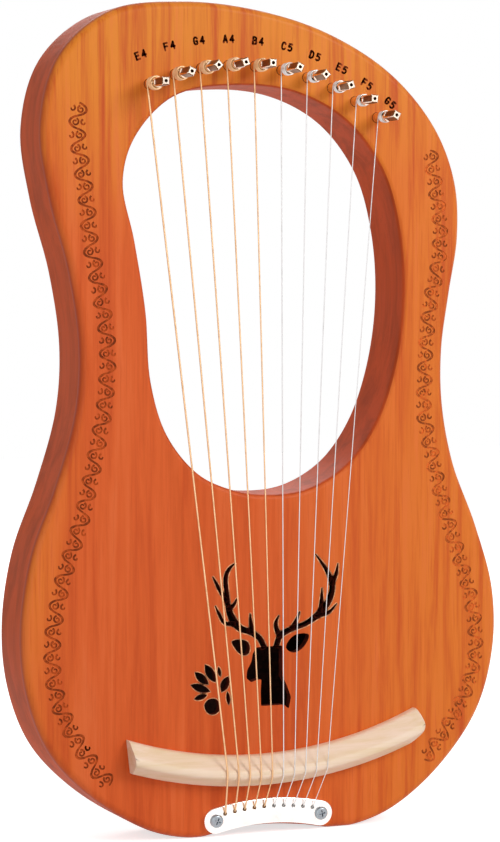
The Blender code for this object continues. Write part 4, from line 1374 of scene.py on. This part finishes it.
def pin_master():
    """A tuning pin on the Y axis with the board's face at y = 0 and its square head at -Y."""
    tip = -PIN_PROUD + PIN_CHAMFER
    bpy.ops.object.select_all(action="DESELECT")
    bpy.ops.mesh.primitive_cylinder_add(
        vertices=40, radius=PIN_RADIUS, depth=PIN_SEATED - tip,
        location=(0, (PIN_SEATED + tip) / 2, 0), rotation=(math.radians(90), 0, 0))
    pin = bpy.context.object
    settle(pin)
    steel = plated("pin_plating", colours().pin_metal, 0.12, 0.26, brush=(1, 0.05, 1))
    set_material(pin, steel)
    round_edges(pin, lambda edge: in_plane(edge, PIN_SEATED), 1.1 * MM, 3)
    dull = plated("pin_flats", colours().pin_flats, 0.3, 0.45, brush=(1, 0.05, 1))
    for turn in range(4):
        mill = square_mill(dull)
        place(mill, Matrix.Rotation(math.radians(90 * turn), 4, "Y"))
        carve(pin, mill)
    open_edit(pin, "FACE")
    pick(pin, "faces", lambda face: face.normal.y < -0.99)
    bpy.ops.mesh.extrude_region_move(TRANSFORM_OT_translate={"value": (0, -PIN_CHAMFER, 0)})
    bpy.ops.transform.resize(value=(0.8, 1, 0.8), center_override=(0, 0, 0))
    close_edit()
    punch = circle(0, 0, 1.3 * MM, 24)
    # The dimple at the pin's tip is coloured near black: painted shade in the hollow.
    dark = plated("pin_dimple", tuple(value * 0.25 for value in colours().pin_flats), 0.5, 0.7)
    dimple = flat_board("centre_punch", [punch], -PIN_PROUD - 1 * MM, -PIN_PROUD + 1.1 * MM, dark)
    open_edit(dimple, "FACE")
    pick(dimple, "faces", lambda face: face.normal.y > 0.9)
    bpy.ops.transform.resize(value=(0.3, 1, 0.3), center_override=(0, 0, 0))
    close_edit()
    carve(pin, dimple)
    bpy.ops.object.select_all(action="DESELECT")
    bpy.ops.mesh.primitive_cylinder_add(
        vertices=24, radius=EYE_RADIUS, depth=4 * PIN_RADIUS,
        location=(0, -EYE_HEIGHT, 0), rotation=(0, math.radians(90), 0))
    drill = bpy.context.object
    settle(drill)
    set_material(drill, steel)
    carve(pin, drill)
    return pin


def square_mill(finish):
    """The wedge that mills one flat of the pin's tapered square head."""
    bpy.ops.object.select_all(action="DESELECT")
    bpy.ops.mesh.primitive_cube_add(size=1, location=(0, 0, 0))
    mill = bpy.context.object
    set_material(mill, finish)
    for vertex in mill.data.vertices:
        at_tip = vertex.co.y < 0
        inner = SQUARE_TIP_HALF if at_tip else SQUARE_HALF
        vertex.co.x = inner if vertex.co.x < 0 else 3 * PIN_RADIUS
        vertex.co.y = -PIN_PROUD - 1 * MM if at_tip else -SQUARE_START
        vertex.co.z *= 4 * PIN_RADIUS
    return mill


def tuning_pins():
    master = pin_master()
    finish_surface(master)
    for number, axis in enumerate(PIN_AXES):
        pin = copy_piece(master, f"pin_{number + 1}_plated")
        turn = Matrix.Rotation(eye_angle(number), 4, "Y")
        place(pin, Matrix.Translation((axis.x, FRONT_Y, axis.z)) @ turn)
        hand_in(pin, f"peg_{number + 1}", "pin_steel", f"tuning_pin_{number + 1}")
    bpy.data.objects.remove(master)


# Strings

def eye_angle(number):
    return PIN_TURN * number


def bridge_point(number, offset):
    """Where a string crosses the bridge: BRIDGE_PITCH apart, centred on X = STRINGS_X."""
    wanted = STRINGS_X + string_share(number) * BRIDGE_PITCH
    along = wanted
    for _ in range(6):
        along += wanted - arc_on_bridge(along, offset)[0]
    return arc_on_bridge(along, offset)


def wound_reach(number):
    """From the pin's axis to the middle of the wire wound round it."""
    return PIN_RADIUS + WIRE_CLEARANCE + STRING_GAUGES[number] / 2


def string_touch(number):
    """The angle on the pin's left side where the string from the bridge comes to it."""
    foot = bridge_point(number, CREST_OFFSET + CREST_WIDTH / 2)
    axis = PIN_AXES[number]
    away = Vector((axis.x - foot[0], axis.z - foot[1]))
    return math.atan2(away.y, away.x) + math.asin(wound_reach(number) / away.length) + math.pi / 2


def on_pin(number, angle, height):
    axis = PIN_AXES[number]
    reach = wound_reach(number)
    across = reach * math.cos(angle)
    rise = reach * math.sin(angle)
    return Vector((axis.x + across, FRONT_Y - height, axis.z + rise))


def frame_sweep(number):
    """The angle that the frame's own winding turns, up to the eye."""
    first = string_touch(number) - HUG_ANGLE
    eye = math.pi - eye_angle(number)
    return 2 * math.pi * (FRAME_TURNS - 1) + (first - eye) % (2 * math.pi)


def hug_height(number):
    """The height above the board at which the string comes to its pin."""
    turns = frame_sweep(number) / (2 * math.pi) + 1
    return EYE_HEIGHT - EYE_LIFT - (STRING_GAUGES[number] + FRAME_TURN_GAP) * turns


def make_wire(name, points, radius, material, widths=None):
    """A round wire through the points, with the length along it kept as an attribute."""
    curve = bpy.data.curves.new(name, "CURVE")
    curve.dimensions = "3D"
    curve.bevel_depth = radius
    curve.bevel_resolution = 4
    curve.use_fill_caps = True
    spline = curve.splines.new("POLY")
    spline.points.add(len(points) - 1)
    for i, (knot, point) in enumerate(zip(spline.points, points)):
        knot.co = (*point, 1.0)
        knot.radius = widths[i] if widths else 1.0
    wire = add_object(name, curve)
    select_only(wire)
    bpy.ops.object.convert(target="MESH")
    wire = bpy.context.object
    open_edit(wire, "VERT")
    bpy.ops.mesh.remove_doubles(threshold=0.002 * MM)
    recalculate_outside()
    close_edit()
    set_material(wire, material)
    marks = measured(points)
    tree = KDTree(len(marks))
    for i, (_, point) in enumerate(marks):
        tree.insert(point, i)
    tree.balance()
    along = wire.data.attributes.new("wire_length", "FLOAT", "POINT")
    for vertex, slot in zip(wire.data.vertices, along.data):
        slot.value = marks[tree.find(vertex.co)[1]][0]
    select_only(wire)
    bpy.ops.object.shade_smooth_by_angle(angle=math.radians(50))
    return wire


def rounded_corner(before, corner, after, reach, steps):
    """Points that lead round a corner on a smooth curve."""
    start = corner + (before - corner).normalized() * reach
    end = corner + (after - corner).normalized() * reach
    shares = [step / steps for step in range(steps + 1)]
    return [start.lerp(corner, t).lerp(corner.lerp(end, t), t) for t in shares]


def string_route(number):
    """From the pin over the bridge and down through the tail plate, as points."""
    gauge = STRING_GAUGES[number]
    touch = string_touch(number)
    height = hug_height(number)
    over = BRIDGE_HEIGHT + CREST_SPARE + gauge / 2
    upper = bridge_point(number, CREST_OFFSET + CREST_WIDTH / 2)
    lower = bridge_point(number, CREST_OFFSET - CREST_WIDTH / 2)
    hole = plate_point(string_share(number) * HOLE_PITCH, HOLE_RISE)
    points = []
    for step in range(HUG_POINTS):
        back = HUG_ANGLE * (1 - step / (HUG_POINTS - 1))
        points.append(on_pin(number, touch - back, height))
    crest = Vector((upper[0], FRONT_Y - over, upper[1]))
    fall = Vector((lower[0], FRONT_Y - over, lower[1]))
    mouth = Vector((hole[0], FRONT_Y - PLATE_TOP - 0.2 * gauge, hole[1]))
    sink = Vector((hole[0], FRONT_Y, hole[1]))
    points += rounded_corner(points[-1], crest, fall, 1.4 * MM, 5)
    points += rounded_corner(crest, fall, mouth, 1.4 * MM, 5)
    points += rounded_corner(fall, mouth, sink, 1.1 * MM, 6)
    return points, sink


def string(number):
    """The sounding string, with its ball end under the tail plate."""
    radius = STRING_GAUGES[number] / 2
    points, sink = string_route(number)
    widths = [1.0] * len(points)
    ball = BALL_RADIUS / radius
    steps = 8
    for step in range(steps + 1):
        angle = math.pi * step / steps
        depth = BALL_LENGTH / 2 * (1 - math.cos(angle))
        points.append(sink + Vector((0, depth + 0.1 * MM, 0)))
        widths.append(max(1.0 if step < steps else 0.3, ball * math.sin(angle) ** 0.5))
    wound = number < WOUND_STRINGS
    wire = make_wire(
        f"string_{NAMES[number]}", points, radius, wound_bronze() if wound else plain_wire(), widths)
    hand_in(wire, HARP, "wound_string" if wound else "plain_string", f"string_{number + 1}")


def winding(number):
    """The turns on the pin, side by side, from the string's last half turn up into the eye."""
    gauge = STRING_GAUGES[number]
    first = string_touch(number) - HUG_ANGLE
    foot = hug_height(number) + gauge + WIRE_CLEARANCE
    top = EYE_HEIGHT - 0.35 * EYE_LIFT - gauge / 2
    sweep = frame_sweep(number)
    sweep += 2 * math.pi * max(0, math.floor((top - foot) / (1.04 * gauge) - sweep / (2 * math.pi)))
    count = math.ceil(sweep / (2 * math.pi) * 24)
    points = []
    for step in range(count + 1):
        share = step / count
        points.append(on_pin(number, first - sweep * share, foot + (top - foot) * share))
    last = points[-1]
    axis = PIN_AXES[number]
    inner = Vector((axis.x, FRONT_Y - EYE_HEIGHT, axis.z))
    mouth = Vector((last.x, FRONT_Y - EYE_HEIGHT, last.z))
    points = points[:-2] + rounded_corner(points[-2], mouth, inner, 0.5 * gauge, 4)
    points.append(mouth.lerp(inner, 0.6))
    wound = number < WOUND_STRINGS
    wire = make_wire(
        f"winding_{NAMES[number]}", points, gauge / 2, wound_bronze() if wound else plain_wire())
    slot = "wound_string" if wound else "plain_string"
    hand_in(wire, f"peg_{number + 1}", slot, f"string_winding_{number + 1}")


# Stage

def camera():
    """The photograph's view: from the left of the front and a little from above."""
    yaw = math.radians(22.42)
    tilt = math.radians(2.62)
    distance = 1.35
    aim = Vector((-0.00904, FRONT_Y, 0.20288))
    lens = bpy.data.cameras.new("view")
    lens.lens = 118.55
    lens.sensor_width = 36
    lens.clip_start = 0.01
    made = add_object("view", lens)
    ahead = Vector((math.sin(yaw) * math.cos(tilt), math.cos(yaw) * math.cos(tilt), -math.sin(tilt)))
    made.location = aim - distance * ahead
    made.rotation_euler = (math.radians(90) - tilt, 0, -yaw)
    bpy.context.scene.camera = made


def soft_light(name, place_at, target, size, power, colour=(1, 1, 1)):
    lamp = bpy.data.lights.new(name, "AREA")
    lamp.size = size
    lamp.energy = power
    lamp.color = colour
    made = add_object(name, lamp)
    made.location = place_at
    away = Vector(target) - Vector(place_at)
    made.rotation_euler = away.to_track_quat("-Z", "Y").to_euler()


def white_world():
    """Even soft light, with white where the camera, gloss or glass looks past the harp."""
    world = bpy.data.worlds.new("studio")
    bpy.context.scene.world = world
    world.use_nodes = True
    tree = world.node_tree
    background = tree.nodes["Background"]
    background.inputs["Color"].default_value = (1, 1, 1, 1)
    path = add_node(tree, "ShaderNodeLightPath")
    seen = calculate(tree, "MAXIMUM", path.outputs["Is Camera Ray"], path.outputs["Is Glossy Ray"])
    seen = calculate(tree, "MAXIMUM", seen, path.outputs["Is Transmission Ray"])
    feed(tree, background.inputs["Strength"], vary(tree, seen, 0.36, 1.0))


def pale_floor():
    """A white floor that keeps the harp's soft shadow."""
    bpy.ops.object.select_all(action="DESELECT")
    bpy.ops.mesh.primitive_plane_add(size=6, location=(0, 0, 0))
    floor = bpy.context.object
    floor.name = "floor"
    open_edit(floor, "FACE")
    bpy.ops.mesh.subdivide(number_cuts=3)
    close_edit()
    material, tree, shader = new_material("pale_floor")
    path = add_node(tree, "ShaderNodeLightPath")
    seen = calculate(tree, "MAXIMUM", path.outputs["Is Camera Ray"], path.outputs["Is Glossy Ray"])
    shader.inputs["Base Color"].default_value = (0.86, 0.86, 0.86, 1)
    shader.inputs["Roughness"].default_value = 0.9
    shader.inputs["Specular IOR Level"].default_value = 0.1
    shader.inputs["Emission Color"].default_value = (1, 1, 1, 1)
    feed(tree, shader.inputs["Emission Strength"], vary(tree, seen, 0.0, 0.68))
    set_material(floor, material)


def stage():
    bpy.context.scene.view_settings.view_transform = "Standard"
    camera()
    white_world()
    pale_floor()
    soft_light("key", (0.75, -1.25, 0.95), (0, 0, 0.22), 0.7, 12)
    soft_light("fill", (-0.9, -1.1, 0.6), (0, 0, 0.2), 0.9, 3)
    soft_light("back", (0.4, 1.3, 1.0), (0, 0, 0.2), 0.9, 6)


class HARP_OT_stage(Operator):
    """Set up the camera, the soft lights, the white world and the floor"""
    bl_idname = "harp.stage"
    bl_label = "Stage"

    def execute(self, context):
        stage()
        return {"FINISHED"}


class HARP_OT_front_board(Operator):
    """Make the stained front board with its opening, sound hole, vines and note names"""
    bl_idname = "harp.front_board"
    bl_label = "Front Board"

    def execute(self, context):
        front_board()
        return {"FINISHED"}


class HARP_OT_back_board(Operator):
    """Make the back board"""
    bl_idname = "harp.back_board"
    bl_label = "Back Board"

    def execute(self, context):
        back_board()
        return {"FINISHED"}


class HARP_OT_body_frame(Operator):
    """Make the seven pieces of the frame between the boards"""
    bl_idname = "harp.body_frame"
    bl_label = "Body Frame"

    def execute(self, context):
        body_frame()
        return {"FINISHED"}


class HARP_OT_braces(Operator):
    """Make the two braces inside the sound chamber"""
    bl_idname = "harp.braces"
    bl_label = "Braces"

    def execute(self, context):
        wood = brace_wood()
        brace("soundboard_brace", wood)
        brace("back_brace", wood)
        return {"FINISHED"}


class HARP_OT_bridge(Operator):
    """Make the arched bridge"""
    bl_idname = "harp.bridge"
    bl_label = "Bridge"

    def execute(self, context):
        bridge()
        return {"FINISHED"}


class HARP_OT_tail_plate(Operator):
    """Make the tail plate with its ten holes"""
    bl_idname = "harp.tail_plate"
    bl_label = "Tail Plate"

    def execute(self, context):
        tail_plate()
        return {"FINISHED"}


class HARP_OT_tail_screws(Operator):
    """Make the two cross-head screws of the tail plate"""
    bl_idname = "harp.tail_screws"
    bl_label = "Tail Screws"

    def execute(self, context):
        tail_screws()
        return {"FINISHED"}


class HARP_OT_tuning_pins(Operator):
    """Make the ten tuning pins"""
    bl_idname = "harp.tuning_pins"
    bl_label = "Tuning Pins"

    def execute(self, context):
        tuning_pins()
        return {"FINISHED"}


class HARP_OT_strings(Operator):
    """Make the ten strings and their turns on the pins"""
    bl_idname = "harp.strings"
    bl_label = "Strings"

    def execute(self, context):
        for number in range(STRINGS):
            string(number)
            winding(number)
        return {"FINISHED"}


STEPS = (
    HARP_OT_stage, HARP_OT_front_board, HARP_OT_back_board, HARP_OT_body_frame, HARP_OT_braces,
    HARP_OT_bridge, HARP_OT_tail_plate, HARP_OT_tail_screws, HARP_OT_tuning_pins, HARP_OT_strings,
)


class HARP_PT_sidebar(Panel):
    """The harp's steps, sizes and colours"""
    bl_idname = "HARP_PT_sidebar"
    bl_label = "Lyre Harp"
    bl_space_type = "VIEW_3D"
    bl_region_type = "UI"
    bl_category = "Lyre Harp"

    def draw(self, context):
        steps = self.layout.column(align=True)
        for step in STEPS:
            steps.operator(step.bl_idname)
        for group in (context.scene.harp_sizes, context.scene.harp_colours):
            column = self.layout.column()
            for name in group.bl_rna.properties.keys():
                if name not in ("rna_type", "name"):
                    column.prop(group, name)


CLASSES = (HarpSizes, HarpColours, *STEPS, HARP_PT_sidebar)


def register():
    for item in CLASSES:
        bpy.utils.register_class(item)
    bpy.types.Scene.harp_sizes = PointerProperty(type=HarpSizes)
    bpy.types.Scene.harp_colours = PointerProperty(type=HarpColours)


def unregister():
    del bpy.types.Scene.harp_colours
    del bpy.types.Scene.harp_sizes
    for item in reversed(CLASSES):
        bpy.utils.unregister_class(item)


def main():
    register()
    bpy.ops.harp.stage()
    bpy.ops.harp.front_board()
    bpy.ops.harp.back_board()
    bpy.ops.harp.body_frame()
    bpy.ops.harp.braces()
    bpy.ops.harp.bridge()
    bpy.ops.harp.tail_plate()
    bpy.ops.harp.tail_screws()
    bpy.ops.harp.tuning_pins()
    bpy.ops.harp.strings()


if __name__ == "__main__":
    main()
